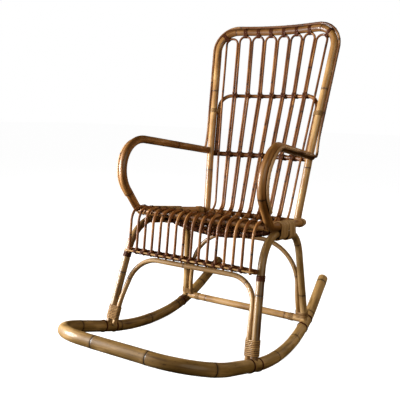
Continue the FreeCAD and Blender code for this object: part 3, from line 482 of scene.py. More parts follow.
# %% Corners and paths of the hairpins
APRON_RAIL_RADIUS = 8.0
APRON_RAIL_Y, APRON_RAIL_HEIGHT, APRON_OVERHANG = -237.0, 313.0, 8.0
APRON_CREST_Y, APRON_CREST_HEIGHT = -235.0, 453.0
ROD_TO_APRON = APRON_RAIL_RADIUS + ROD_TOUCH
APRON_LEAN = (APRON_CREST_Y - APRON_RAIL_Y + ROD_TO_APRON) / (APRON_CREST_HEIGHT - APRON_RAIL_HEIGHT)
SETTLING_SWEEPS = 12


def settle(corners, supports):
    """Moves the corners over the seat until each bend touches its support."""
    for sweep in range(SETTLING_SWEEPS):
        for place, (axis, gap, bend, over) in enumerate(supports, start=2):
            back = (corners[place - 1] - corners[place]).normalized()
            ahead = (corners[place + 1] - corners[place]).normalized()
            half_turn = (math.pi - back.angle(ahead)) / 2
            inward = (back + ahead).normalized()
            lean = Vector((0, inward.y, inward.z))
            away = lean.normalized() * (-gap if over else gap)
            corners[place] = axis + away - lean * (bend / math.cos(half_turn) - bend)


def rod_corners(index):
    """Corners of one rod from its foot on the apron to its crown."""
    x = apron_x(index)
    foot_y = APRON_RAIL_Y - ROD_TO_APRON - APRON_LEAN * APRON_OVERHANG
    supports = rod_supports(index)
    corners = [Vector((x, foot_y, APRON_RAIL_HEIGHT - APRON_OVERHANG))]
    corners.append(Vector((x, APRON_CREST_Y, APRON_CREST_HEIGHT)))
    corners += [support.axis + UP * support.gap for support in supports]
    lower_x = fan_x(index, half_span_at(LOWER_BAR_HEIGHT))
    corners.append(rod_on_bar(lower_path, WHOLE_SPAN, LOWER_BAR_RADIUS, LOWER_REARWARD, lower_x)[0])
    upper_x = fan_x(index, half_span_at(UPPER_BAR_HEIGHT))
    corners.append(rod_on_bar(upper_path, UPPER_SPAN, UPPER_BAR_RADIUS, BACK_REARWARD, upper_x)[0])
    crown_top = crown_place(index // 2)[1] - CROWN_RADIUS
    top_x = fan_x(index, half_span_at((BACK_TOP - BACK_RISE * crown_top).z))
    corners.append(crown_spot(top_x, crown_top))
    settle(corners, supports)
    return corners


def hairpin_path(number):
    rise, fall = rod_corners(2 * number), rod_corners(2 * number + 1)[::-1]
    crown = (fall[0] - rise[-1]).length / 2
    return BentPath(rise + fall, ROD_BENDS + [crown, crown] + ROD_BENDS[::-1])


hairpin_paths = [hairpin_path(number) for number in range(HAIRPINS)]
print("hairpin rods are", [round(path.length) for path in hairpin_paths], "mm long")

# %% [markdown]
# ## Welt
# A thinner rod is nailed along the outside of arms and back frame. It starts low on one arm loop, runs
# along the arm and up the post, over the top rail and down the other side in one piece. It could be an
# offset of their meshes, but the same corners moved outwards give a clean path of its own.

# %% Path of the welt
WELT_RADIUS = 4.75
WRAP_PEEL, PEEL_FLATNESS, PEEL_CLEARANCE = 2.2, 0.5, 0.25
WELT_OFFSET = BACK_RADIUS + WRAP_PEEL * PEEL_FLATNESS + PEEL_CLEARANCE + WELT_RADIUS
WELT_START, WELT_POST_BEND, WELT_POST_REACH = 0.62, 30.0, 52.0


def welt_half():
    """Corners of the left half, outside of the arm and then of the post."""
    out = ACROSS * (ARM_RADIUS + WELT_RADIUS + SEAT_CLEARANCE)
    start = ARM_FORE.lerp(RAIL_FRONT, WELT_START) + out
    post = at_height(BACK_BEND, BACK_TOP, BACK_BEND.z + WELT_POST_REACH)
    landing = post - POST_INWARD * WELT_OFFSET
    along = (BACK_TOP - TOP_MIDDLE).normalized()
    overshoot = WELT_OFFSET * POST_RISE.dot(BACK_RISE) / (1 - along.dot(POST_RISE))
    crown = BACK_TOP + BACK_RISE * WELT_OFFSET + along * overshoot
    return [start, ARM_FORE + out, ARM_TOP + out, ARM_REAR + out, landing, crown]


welt_bends = [ARM_FORE_BEND, ARM_TOP_BEND, WELT_POST_BEND, BACK_BEND_RADIUS, BACK_TOP_BEND + WELT_OFFSET]
welt_path = BentPath(mirrored(welt_half(), [TOP_MIDDLE + BACK_RISE * WELT_OFFSET]),
                     welt_bends + [TOP_BOW_BEND] + welt_bends[::-1])
print("welt is", round(welt_path.length), "mm long")

# %% [markdown]
# ## Rolling a grid into a tube
# Poles and peel could be curves with a bevel, but then their points could hold no marks of their own.
# Here a flat grid is rolled round a path, ring by ring, its seam merged and its ends filled. Each point
# keeps its place on the straight culm, as it was before bending, so that the grain follows the pole. It also
# keeps a mark, high in a joint's groove and painted as shade at the edges of peel, and a tone from dark to
# pale.

# %% Mesh under construction
STRAIGHT, JOINT_AND_EDGE_SHADE, TONE = "straight", "joint_and_edge_shade", "tone"
SEAM = 1e-7


class PieceMesh:
    """A mesh under construction, with the layers that the finishes read."""

    def __init__(self):
        self.bm = bmesh.new()
        self.straight = self.bm.verts.layers.float_vector.new(STRAIGHT)
        self.joint_and_edge_shade = self.bm.verts.layers.float.new(JOINT_AND_EDGE_SHADE)
        self.tone = self.bm.verts.layers.float.new(TONE)

    def add_tube(self, rings, sides, section):
        """Grid rolled along rings of place, side axis, out axis, distance and tone."""
        last = len(rings) - 1
        made = bmesh.ops.create_grid(self.bm, x_segments=last, y_segments=sides, size=1.0)["verts"]
        for vert in made:
            row = round((vert.co.x + 1) / 2 * last)
            angle = math.tau * round((vert.co.y + 1) / 2 * sides) / sides
            place, side_axis, out_axis, distance, tone = rings[row]
            aside, out, mark = section(row, angle)
            vert.co = (place + side_axis * aside + out_axis * out) * MM
            vert[self.straight] = Vector((aside, out, distance)) * MM
            # The mark is a joint's groove on poles, and painted shade at the edges of peel.
            vert[self.joint_and_edge_shade] = mark
            vert[self.tone] = tone
        bmesh.ops.remove_doubles(self.bm, verts=made, dist=SEAM)
        rims = [edge for edge in self.bm.edges if edge.is_boundary]
        bmesh.ops.holes_fill(self.bm, edges=rims, sides=0)

    def finish(self, name, material, slot, *nodes):
        """Turns the mesh into a piece that rides on the chair and stands for its solids."""
        bmesh.ops.recalc_face_normals(self.bm, faces=self.bm.faces)
        for face in self.bm.faces:
            face.smooth = True
        mesh = bpy.data.meshes.new(name)
        self.bm.to_mesh(mesh)
        self.bm.free()
        piece = bpy.data.objects.new(name, mesh)
        bpy.context.scene.collection.objects.link(piece)
        piece.data.materials.append(material)
        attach(piece, "root")
        if nodes:
            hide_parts(*nodes)
        print(name, "has", len(mesh.polygons), "faces")


print("each point of a piece keeps", STRAIGHT, JOINT_AND_EDGE_SHADE, "and", TONE)

# %% [markdown]
# ## Grown poles
# A culm swells a little at each joint and has a fine groove there, and it is never quite straight or
# even. A displacement texture could do that, but it would also move the pole's tips. So the rings
# themselves carry it: they sit closer at the joints and the rounded ends, and noise moves each a little.
# Blender seeds its noise vectors from the clock, so a seed of our own is set first, and every run gives
# the same poles.

# %% Rings along a pole
JOINT_SHAPE = ((0.0, -0.010), (0.9, -0.004), (2.2, 0.016), (4.5, 0.022), (9.0, 0.010), (18.0, 0.0))
END_SHARES = (0.05, 0.18, 0.45, 0.75, 1.0)
TURN_STEP, LEAST_STEP = 0.10, 0.25


def joint_swell(offset):
    """Share of the radius added at this distance from a joint."""
    for (near, low), (far, high) in zip(JOINT_SHAPE, JOINT_SHAPE[1:]):
        if offset <= far:
            return low + (high - low) * (offset - near) / (far - near)
    return 0.0


def pole_stations(path, joints, step, ends):
    """Distances of the rings along a pole."""
    marks = set(path.stations(step, TURN_STEP))
    for joint in joints:
        for offset, swell in JOINT_SHAPE:
            marks.update((joint - offset, joint + offset))
    for share in END_SHARES:
        marks.update((ends[0] * share, path.length - ends[1] * share))
    stations = []
    for mark in sorted(mark for mark in marks if 0 <= mark <= path.length):
        if not stations or mark - stations[-1] > LEAST_STEP:
            stations.append(mark)
    return stations


def path_frames(path, stations):
    """Point and two cross axes at each station, carried along without twist."""
    frames = []
    heading = path.at(stations[0])[1]
    side_axis = heading.orthogonal().normalized()
    for station in stations:
        spot, ahead = path.at(station)
        side_axis = heading.rotation_difference(ahead) @ side_axis
        side_axis = (side_axis - ahead * side_axis.dot(ahead)).normalized()
        heading = ahead
        frames.append((spot, side_axis, ahead.cross(side_axis)))
    return frames


print("a joint swells a pole by up to", max(swell for offset, swell in JOINT_SHAPE), "of its radius")

# %% Poles with joints, wander and tone
NOISE_SEED = 1
WANDER_WAVE, WANDER_EASE, WANDER_SHIFT = 160.0, 60.0, 7.3
GIRTH_WAVE, GIRTH_SHARE, GIRTH_SHIFT, GIRTH_LAYER = 90.0, 0.012, 3.1, 5.0
TIP_SHARE, MARK_REACH, GRAIN_SHIFT = 0.09, 9.0, 613.0
noise.seed_set(NOISE_SEED)


def blend_along(values, share):
    """Value at a share of the way through evenly spaced values."""
    place = share * (len(values) - 1)
    low, high = values[math.floor(place)], values[math.ceil(place)]
    return low + (high - low) * (place - math.floor(place))


def girth(path, station, near, seed, ends):
    """Share of the radius that a pole has at a station."""
    uneven = noise.noise(Vector((station / GIRTH_WAVE, seed * GIRTH_SHIFT, GIRTH_LAYER)))
    share = 1.0 + GIRTH_SHARE * uneven + joint_swell(near)
    for reach, rest in zip(ends, (station, path.length - station)):
        if rest < reach:
            share *= math.sqrt(max(TIP_SHARE, 1.0 - (1.0 - rest / reach) ** 2))
    return share


def grown_pole(path, radius, joints, seed, sides=28, step=14.0, wander=0.6, ends=(4.0, 4.0), tones=(0.5,)):
    """A pole along the path, with swollen joints at the given distances and tones from end to end."""
    stations = pole_stations(path, joints, step, ends)
    rings = []
    widths = []
    marks = []
    for station, (spot, side_axis, out_axis) in zip(stations, path_frames(path, stations)):
        near = min((abs(station - joint) for joint in joints), default=path.length)
        drift = noise.noise_vector(Vector((station / WANDER_WAVE, seed * WANDER_SHIFT, 0.0)))
        ease = wander * min(1.0, station / WANDER_EASE, (path.length - station) / WANDER_EASE)
        place = spot + (side_axis * drift.x + out_axis * drift.y) * ease
        widths.append(radius * girth(path, station, near, seed, ends))
        marks.append(max(0.0, 1.0 - near / MARK_REACH))
        tone = blend_along(tones, station / path.length)
        rings.append((place, side_axis, out_axis, station + seed * GRAIN_SHIFT, tone))

    def section(row, turn):
        return widths[row] * math.cos(turn), widths[row] * math.sin(turn), marks[row]

    mesh = PieceMesh()
    mesh.add_tube(rings, sides, section)
    return mesh


print("a joint darkens a pole up to", MARK_REACH, "mm to each side")

# %% [markdown]
# ## Wound peel
# The bindings are flat strips of peel, drawn tight round everything they hold. A screw modifier winds
# round one axis only, and here a strip may hold several poles. A tight strip touches whatever circle
# reaches farthest in each direction, which gives its outline, and it climbs as it turns.

# %% Outline and section of a strip
OUTLINE_STEPS, OUTLINE_START = 28, 0.1
# Strip edges are painted darker, as painted shade in the gaps between turns.
STRIP_SQUARENESS, EDGE_SHADE_START, EDGE_SHADE_POWER = 0.7, 0.8, 3


def reach_of(circle, angle):
    """How far a circle (a, b, radius, lean) reaches in the direction of an angle."""
    return circle[0] * math.cos(angle) + circle[1] * math.sin(angle) + circle[2]


def taut_outline(circles):
    """Angles that a tight strip faces, each with the circle that it touches there."""
    def owner_at(angle):
        return max(circles, key=lambda circle: reach_of(circle, angle))

    marks = []
    for step in range(OUTLINE_STEPS):
        low = math.tau * (step + OUTLINE_START) / OUTLINE_STEPS
        high = low + math.tau / OUTLINE_STEPS
        owner = owner_at(low)
        marks.append((low, owner))
        if owner_at(high) != owner:
            for halving in range(HALVINGS):
                middle = (low + high) / 2
                low, high = (middle, high) if owner_at(middle) == owner else (low, middle)
            marks += [(low, owner), (high, owner_at(high))]
    return marks


def flat_section(half_width, half_thickness, edge_shade):
    """Section of a strip of peel, flat with round edges painted dark as the shade between its turns."""
    def section(row, turn):
        a, b = math.cos(turn), math.sin(turn)
        aside = half_width * math.copysign(abs(a) ** STRIP_SQUARENESS, a)
        out = half_thickness * math.copysign(abs(b) ** STRIP_SQUARENESS, b)
        return aside, out, edge_shade * min(1.0, abs(a / EDGE_SHADE_START) ** EDGE_SHADE_POWER)
    return section


two_poles = [(0, 0, LEG_RADIUS, 0), (FOOT_SPACING, 0, ARCH_RADIUS, 0)]
print("a turn round two poles has", len(taut_outline(two_poles)), "steps")

# %% Windings
PEEL_GAP, PEEL_SPREAD = 0.6, 0.2
STRIP_SIDES, STRIP_SHIFT = 10, 97.0


def add_winding(mesh, centre, axis, across, circles, turns, peel, lift=0.0, tone=0.5, edge_shade=1.0):
    """Strip wound round the circles, which lie along across and along axis x across."""
    axis = axis.normalized()
    across = (across - axis * across.dot(axis)).normalized()
    sideways = axis.cross(across)
    marks = taut_outline(circles)
    half_thickness = peel * PEEL_FLATNESS / 2
    rings = []
    distance = STRIP_SHIFT * (centre.x + centre.z)
    for index in range(turns * len(marks) + 1):
        angle, (a, b, radius, lean) = marks[index % len(marks)]
        climb = (index / len(marks) - turns / 2) * (peel + PEEL_GAP)
        out = across * math.cos(angle) + sideways * math.sin(angle)
        place = centre + across * (a + lean * climb) + sideways * b + axis * climb
        place += out * (radius + half_thickness + PEEL_CLEARANCE + lift)
        if rings:
            distance += (place - rings[-1][0]).length
        rings.append((place, axis, out, distance, tone))
    mesh.add_tube(rings, STRIP_SIDES, flat_section(peel / 2 + PEEL_SPREAD, half_thickness, edge_shade))


print("turns of peel lie", PEEL_GAP, "mm apart, and each strip has", STRIP_SIDES, "sides")

# %% Crossed lashings
SLANT_WIDTH = math.sqrt(2)


def add_lashing(mesh, centre, along_bar, along_rod, outward, bar_radius, rod_half_width, turns, peel,
                strip=None):
    """Crossed strips aslant round a bar and the rods before it, whose axes centre lies on."""
    for sense in (1, -1):
        slant = (along_bar * sense + along_rod).normalized()
        axis = slant.cross(outward).normalized()
        rod_lean = along_rod.dot(slant) / along_rod.dot(axis)
        bar_lean = along_bar.dot(slant) / along_bar.dot(axis)
        rod_reach = rod_half_width * SLANT_WIDTH - ROD_RADIUS
        bar_place = -ROD_RADIUS - SEAT_CLEARANCE - bar_radius
        circles = []
        for end in (1, -1):
            circles.append((end * rod_reach, 0.0, ROD_RADIUS, rod_lean))
            circles.append((end * bar_radius * (SLANT_WIDTH - 1), bar_place, bar_radius, bar_lean))
            if strip:
                strip_place = ROD_TOUCH + strip
                circles.append((end * strip * (SLANT_WIDTH - 1), strip_place, strip, bar_lean))
        lift = 0.0 if sense > 0 else peel * PEEL_FLATNESS
        add_winding(mesh, centre, axis, slant, circles, turns, peel, lift)


print("a lashing at 45 degrees meets a rod", round(SLANT_WIDTH, 2), "times as wide as it is")

# %% [markdown]
# ## Finishes
# Each finish is a small node tree. It could be linked by hand in the shader editor, but nodes made by
# code can be read as sums: a class wraps a socket and overloads the operators, and one method makes
# every other node, sets it up and fills its sockets.

# %% Sockets that add and multiply
class Value:
    """A number that a socket gives, with the operators used below."""

    def __init__(self, finish, socket):
        self.finish, self.socket = finish, socket

    def math(self, operation, first, second):
        return self.finish.node("ShaderNodeMath", {"operation": operation}, {0: first, 1: second})[0]

    def __add__(self, other):
        return self.math("ADD", self, other)

    def __sub__(self, other):
        return self.math("SUBTRACT", self, other)

    def __rsub__(self, other):
        return self.math("SUBTRACT", other, self)

    def __mul__(self, other):
        return self.math("MULTIPLY", self, other)

    __radd__, __rmul__ = __add__, __mul__


class Outputs:
    """The outputs of a node that was made, by name or number."""

    def __init__(self, finish, node):
        self.finish, self.made = finish, node

    def __getitem__(self, key):
        return Value(self.finish, self.made.outputs[key])


print("sockets can now be added, subtracted and multiplied")

# %% A material under construction
class Finish:
    """A material whose nodes are made one by one."""

    def __init__(self, name):
        self.material = bpy.data.materials.new(name)
        self.material.use_nodes = True
        self.tree = self.material.node_tree
        self.tree.nodes.clear()

    def node(self, kind, settings, sockets):
        """Makes a node, sets it up, then gives its sockets values or links."""
        made = self.tree.nodes.new(kind)
        for setting, value in settings.items():
            setattr(made, setting, value)
        for socket, value in sockets.items():
            if isinstance(value, Value):
                self.tree.links.new(value.socket, made.inputs[socket])
            else:
                made.inputs[socket].default_value = value
        return Outputs(self, made)

    def attribute(self, name, output):
        return self.node("ShaderNodeAttribute", {"attribute_name": name}, {})[output]

    def mix(self, share, first, second):
        """Colour between first and second."""
        return self.node("ShaderNodeMix", {"data_type": "RGBA"}, {0: share, 6: first, 7: second})[2]

    def between(self, value, low, high):
        """Smooth step of a value from 0 at low to 1 at high."""
        ends = {"Value": value, "From Min": low, "From Max": high}
        return self.node("ShaderNodeMapRange", {"interpolation_type": "SMOOTHSTEP"}, ends)["Result"]

    def grain(self, place, waves, detail):
        """Noise on the straight culm, at so many waves a metre along each axis."""
        scaled = self.node("ShaderNodeVectorMath", {"operation": "MULTIPLY"}, {0: place, 1: waves})[0]
        sockets = {"Vector": scaled, "Scale": 1.0, "Detail": detail}
        return self.node("ShaderNodeTexNoise", {}, sockets)["Fac"]

    def surface(self, sockets):
        shader = self.node("ShaderNodeBsdfPrincipled", {}, sockets)["BSDF"]
        self.node("ShaderNodeOutputMaterial", {}, {"Surface": shader})
        return self.material


trial = Finish("trial")
doubled = 2.0 * trial.attribute(TONE, "Fac")
print("a doubled tone ends in a node named", doubled.socket.node.name)
bpy.data.materials.remove(trial.material)

# %% [markdown]
# ## Lacquered bamboo, rattan and peel
# Fibres run along a culm, smoke and sun leave broad drifts, specks show old insect marks, and each joint
# has a dark line with a haze around it. A wood texture's rings would be wrong, as bamboo has none. So
# all of it is noise on the straight culm's coordinates, stretched along the pole, and one function
# serves every finish: three browns that the drifts choose from, and a groove colour, which on strips of
# peel paints the shade at their edges.

# %% Finish of culms
FIBRES, STREAKS = (900.0, 900.0, 12.0), (190.0, 190.0, 5.0)
DRIFTS, SPECKS = (42.0, 42.0, 11.0), (240.0, 240.0, 90.0)
COAT_SHARE, COAT_ROUGHNESS = 0.6, 0.12
BUMP_STRENGTH, BUMP_DEPTH = 0.25, 0.5 * MM


def linear(screen):
    """Screen colour, in parts from 0 to 255, as the light that it stands for."""
    parts = []
    for part in (value / 255 for value in screen):
        parts.append(part / 12.92 if part <= 0.04045 else ((part + 0.055) / 1.055) ** 2.4)
    return (*parts, 1.0)


def culm_finish(name, dark, middle, pale, groove_and_edge_shade, roughness, shine, speckle):
    """Lacquered culm, whose tone moves it from its dark colour through its middle to its pale one."""
    finish = Finish(name)
    place = finish.attribute(STRAIGHT, "Vector")
    joint_and_edge_shade = finish.attribute(JOINT_AND_EDGE_SHADE, "Fac")
    tone = finish.attribute(TONE, "Fac")
    fibres, streaks = finish.grain(place, FIBRES, 2.0), finish.grain(place, STREAKS, 2.0)
    drifts, specks = finish.grain(place, DRIFTS, 3.0), finish.grain(place, SPECKS, 1.0)
    share = drifts * 1.3 + streaks * 0.6 + fibres * 0.3 + tone - 1.1
    body = finish.mix(finish.between(share, 0.12, 0.5), linear(dark), linear(middle))
    body = finish.mix(finish.between(share, 0.5, 0.88), body, linear(pale))
    body = finish.mix(finish.between(specks, 0.66, 0.78) * speckle, body, linear(dark))
    # The mark darkens each joint and its groove, and on peel it paints the shade at the strip edges.
    body = finish.mix(joint_and_edge_shade * 0.55, body, linear(dark))
    colour = finish.mix(finish.between(joint_and_edge_shade, 0.76, 0.92), body, linear(groove_and_edge_shade))
    height = fibres * 0.5 + streaks * 0.9
    bump = {"Strength": BUMP_STRENGTH, "Distance": BUMP_DEPTH, "Height": height}
    return finish.surface({
        "Base Color": colour, "Roughness": fibres * 0.2 + drifts * 0.2 + roughness,
        "Normal": finish.node("ShaderNodeBump", {}, bump)["Normal"], "Specular IOR Level": shine,
        "Coat Weight": shine * COAT_SHARE, "Coat Roughness": COAT_ROUGHNESS})


print("fibres are", round(1 / FIBRES[0] / MM, 1), "mm wide, drifts", round(1 / DRIFTS[0] / MM), "mm")

# %% Finishes of the poles
honey_pole = culm_finish("honey_pole", (106, 66, 28), (164, 118, 62), (202, 160, 100), (48, 23, 8),
                         roughness=0.26, shine=0.5, speckle=0.6)
khaki_pole = culm_finish("khaki_pole", (90, 60, 26), (146, 111, 62), (188, 152, 102), (44, 24, 9),
                         roughness=0.26, shine=0.5, speckle=0.6)
olive_pole = culm_finish("olive_pole", (68, 43, 15), (128, 96, 47), (178, 139, 84), (28, 14, 5),
                         roughness=0.34, shine=0.35, speckle=0.7)
smoked_pole = culm_finish("smoked_pole", (68, 36, 11), (122, 78, 32), (170, 120, 64), (28, 13, 5),
                          roughness=0.26, shine=0.45, speckle=0.6)
pale_pole = culm_finish("pale_pole", (116, 80, 40), (166, 126, 75), (198, 160, 108), (78, 46, 20),
                        roughness=0.3, shine=0.45, speckle=0.5)
print("each pole finish has", len(honey_pole.node_tree.nodes), "nodes")

# %% Finishes of rods and peel
brown_rod = culm_finish("brown_rod", (58, 26, 7), (121, 72, 30), (178, 125, 68), (30, 12, 4),
                        roughness=0.32, shine=0.3, speckle=0.2)
# Its pale brown, which the welt's tones bring out on the arms, is painted light there.
welt_brown = culm_finish("welt_brown", (60, 31, 11), (106, 64, 30), (192, 150, 104), (30, 14, 5),
                         roughness=0.32, shine=0.3, speckle=0.2)
dark_peel = culm_finish("dark_peel", (50, 20, 7), (84, 41, 16), (116, 66, 32), (24, 10, 4),
                        roughness=0.5, shine=0.12, speckle=0.2)
tan_peel = culm_finish("tan_peel", (102, 69, 34), (156, 117, 68), (194, 156, 104), (52, 28, 10),
                       roughness=0.4, shine=0.25, speckle=0.3)
print("finishes:", [material.name for material in bpy.data.materials if material.node_tree])

# %% [markdown]
# ## Runner, legs and braces
# These are whole culms: the runner olive and worn, the legs khaki, the braces pale. Joints could be put
# at even steps, but a reader would see that at once, so they sit where the real chair shows them, and at
# a culm's usual spacing where it shows none. Each piece takes the place of its solid.

# %% Runner
RUNNER_JOINTS = (37.0, 210.0, 381.0, 566.0, 760.0, 947.0, 1119.0, 1291.0, 1574.0, 1770.0, 1943.0, 2115.0,
                 2290.0)
# From the sitter's-left rear tip to the other: partly the culm's own tone, partly painted light, as the
# sitter's-left rocker, which the lamps leave in shade, is painted paler.
RUNNER_TONES_AND_PAINTED_LIGHT = (0.94, 0.78, 0.66, 0.55, 0.57, 0.61, 0.5, 0.44, 0.4, 0.38)
ROUND_END, CUT_END = 9.0, 1.0
runner = grown_pole(runner_path, RUNNER_RADIUS, RUNNER_JOINTS, seed=1, sides=40, ends=(ROUND_END, ROUND_END),
                    tones=RUNNER_TONES_AND_PAINTED_LIGHT)
runner.finish("runner_pole", olive_pole, "bamboo_pole", "runner")

# %% Legs and braces
LEG_JOINTS = {"left": (191.0, 430.0, 649.0, 840.0), "right": (179.0, 405.0, 640.0, 820.0)}
LEG_TONES = (0.38, 0.38, 0.48, 0.58, 0.64)
stretcher = grown_pole(stretcher_path, STRETCHER_RADIUS, (75.0, 205.0, 400.0), seed=2)
stretcher.finish("rear_stretcher_pole", pale_pole, "bamboo_pole", "rear_stretcher")
front_arch = grown_pole(front_arch_path, ARCH_RADIUS, (226.0, 451.0, 677.0), seed=3, sides=24)
front_arch.finish("front_arch_pole", pale_pole, "bamboo_pole", "front_arch")
rear_arch = grown_pole(rear_arch_path, ARCH_RADIUS, (150.0, 395.0, 640.0), seed=4, sides=24, tones=(0.44,))
rear_arch.finish("rear_arch_pole", pale_pole, "bamboo_pole", "rear_arch")
for name, side in SIDES:
    leg = grown_pole(leg_path(side), LEG_RADIUS, LEG_JOINTS[name], seed=5 + side, tones=LEG_TONES)
    leg.finish("leg_arch_pole_" + name, khaki_pole, "bamboo_pole", "leg_arch_" + name)

# %% [markdown]
# ## Arms, back frame and seat rails
# The arms are the darkest poles, smoked and worn by hands. The back frame is honey coloured, and darker
# along its top rail. A second material could darken that stretch, but its edge would show, so a list of
# tones blends along the pole.

# %% Arms and back frame
ARM_JOINTS = {"left": (240.0, 600.0, 845.0), "right": (210.0, 637.0, 860.0)}
# Painted light: the arm poles grow paler along the seat rail, which the lamps leave in shade.
ARM_TONES_AND_PAINTED_LIGHT = (0.56, 0.52, 0.54, 0.56, 0.66, 0.8, 0.88)
BACK_JOINTS = (195.0, 484.0, 744.0, 1098.0, 1377.0, 1693.0)
BACK_TONES = (0.56, 0.62, 0.66, 0.58, 0.24, 0.18, 0.24, 0.5, 0.55, 0.5, 0.45)
for name, side in SIDES:
    arm = grown_pole(arm_path(side), ARM_RADIUS, ARM_JOINTS[name], seed=8 + side, ends=(CUT_END, ROUND_END),
                     tones=ARM_TONES_AND_PAINTED_LIGHT)
    arm.finish("arm_pole_" + name, smoked_pole, "bamboo_pole", "arm_" + name)
back = grown_pole(back_path, BACK_RADIUS, BACK_JOINTS, seed=11, sides=32, ends=(CUT_END, CUT_END),
                  tones=BACK_TONES)
back.finish("back_frame_pole", honey_pole, "bamboo_pole", "back_frame")

# %% Seat rails
rear_rail = grown_pole(across_to(REAR_RAIL), REAR_RAIL_RADIUS, (90.0, 260.0), seed=12)
rear_rail.finish("seat_rear_rail_pole", smoked_pole, "bamboo_pole", "seat_rear_rail")
front_rail = grown_pole(across_to(RAIL_FRONT), FRONT_RAIL_RADIUS, (140.0, 350.0), seed=13, tones=(0.7,))
front_rail.finish("seat_front_rail_pole", smoked_pole, "bamboo_pole", "seat_front_rail")

# %% [markdown]
# ## Rods
# Bars, cross rods and hairpins are solid rattan, redder than the poles. Two cross rods sag under the
# seat and give it its dish. The hairpins could share one mesh, but no two grown rods match, so each
# gets a tone and joints of its own, and is a little paler where the seat is worn.

# %% Back bars and cross rods
upper_bar = grown_pole(upper_path, UPPER_BAR_RADIUS, (90.0, 330.0, 560.0, 800.0), seed=14, sides=20,
                       tones=(0.46,))
upper_bar.finish("upper_back_bar_rod", brown_rod, "brown_rod", "upper_back_bar")
lower_bar = grown_pole(lower_path, LOWER_BAR_RADIUS, (110.0, 300.0), seed=15, sides=22, tones=(0.36,))
lower_bar.finish("lower_back_bar_rod", brown_rod, "brown_rod", "lower_back_bar")
for seed, (name, cross_rod) in enumerate(CROSS_RODS.items(), start=16):
    x = at_depth(RAIL_FRONT, RAIL_REAR, cross_rod.y).x
    end = Vector((x, cross_rod.y, cross_rod_height(cross_rod, x)))
    knee = Vector((0, end.y, end.z - x ** 2 / (cross_rod.height + cross_rod.bow - end.z)))
    path = BentPath(mirrored([end], [knee]), [cross_rod.bow])
    rod = grown_pole(path, CROSS_ROD_RADIUS, (120.0, 340.0), seed, sides=20, tones=(0.36,))
    rod.finish("seat_cross_rod_" + name + "_rod", brown_rod, "brown_rod", "seat_cross_rod_" + name)

# %% Apron rail and cover strip
COVER_STRIP_RADIUS, COVER_STRIP_OVERHANG = 3.0, 14.0
apron_foot = Vector((0, APRON_RAIL_Y - ROD_TO_APRON, APRON_RAIL_HEIGHT))
APRON_RISE = rise_between(apron_foot, Vector((0, APRON_CREST_Y, APRON_CREST_HEIGHT)))
APRON_OUTWARD = -behind(APRON_RISE)
apron_reach = leg_path(1).first(UP, APRON_RAIL_HEIGHT)[0].x - LEG_RADIUS / 2
apron_path = across_to(Vector((apron_reach, APRON_RAIL_Y, APRON_RAIL_HEIGHT)))
apron_rail = grown_pole(apron_path, APRON_RAIL_RADIUS, (150.0, 330.0), seed=18, sides=20)
apron_rail.finish("apron_rail_rod", brown_rod, "brown_rod", "apron_rail")
strip_depth = ROD_TO_APRON + ROD_TOUCH + COVER_STRIP_RADIUS
strip_end = Vector((apron_x(RODS - 1) + COVER_STRIP_OVERHANG, APRON_RAIL_Y, APRON_RAIL_HEIGHT))
strip_path = across_to(strip_end + APRON_OUTWARD * strip_depth)
strip = grown_pole(strip_path, COVER_STRIP_RADIUS, (), seed=19, sides=14, ends=(CUT_END, CUT_END))
strip.finish("apron_cover_strip_rod", tan_peel, "brown_rod", "apron_cover_strip")

# %% Hairpin rods
ROD_TONES = (0.0, 0.06, 0.12, 0.06, -0.05, -0.07, -0.07, -0.07)
ROD_TONE, ROD_TONE_SPREAD, ROD_TONE_SHIFT = 0.52, 0.14, 1.9
FIRST_JOINT, JOINT_SHIFT, ROD_JOINT_SPACING = 60.0, 37.0, 210.0
JOINT_UNEVENNESS, JOINT_WAVE, JOINT_END_ROOM = 0.22, 1.7, 12.0


def spaced_joints(length, first, spacing):
    """Joints at slightly uneven steps along a pole."""
    joints = []
    place = first
    while place < length - JOINT_END_ROOM:
        joints.append(place)
        place += spacing * (1.0 + JOINT_UNEVENNESS * math.sin(place * JOINT_WAVE))
    return joints


for number, path in enumerate(hairpin_paths):
    joints = spaced_joints(path.length, FIRST_JOINT + JOINT_SHIFT * number, ROD_JOINT_SPACING)
    tone = ROD_TONE + ROD_TONE_SPREAD * noise.noise(Vector((number * ROD_TONE_SHIFT, 0.4, 0.2)))
    tones = [tone + shift for shift in ROD_TONES + ROD_TONES[-2::-1]]
    rod = grown_pole(path, ROD_TOUCH, joints, seed=20 + number, sides=14, step=16.0, wander=0.4,
                     ends=(2.0, 2.0), tones=tones)
    rod.finish("hairpin_rod_" + str(number + 1), brown_rod, "brown_rod", "spindle_" + str(number + 1))

# %% [markdown]
# ## Welt and its nails
# The welt is painted paler on the arms, as painted light on their outer side, which the lamps leave in
# shade, and it is nailed on every few centimetres. A bump could hint at the nails, but it vanishes in
# profile, so a nail head is a flattened ball of a few faces.
# It sits on the side of the welt that faces away from the pole that carries it.

# %% Welt
# Painted light: the welt's tones are pale along the arms, whose outer side the lamps leave in shade.
WELT_TONES_AND_PAINTED_LIGHT = (0.95, 0.95, 0.66, 0.48, 0.48, 0.48, 0.48, 0.48, 0.66, 0.9, 0.9)
welt_joints = spaced_joints(welt_path.length, first=620.0, spacing=240.0)
welt = grown_pole(welt_path, WELT_RADIUS, welt_joints, seed=40, sides=18, wander=0.3, tones=WELT_TONES_AND_PAINTED_LIGHT)
welt.finish("welt_rod", welt_brown, "welt_rod", "welt")

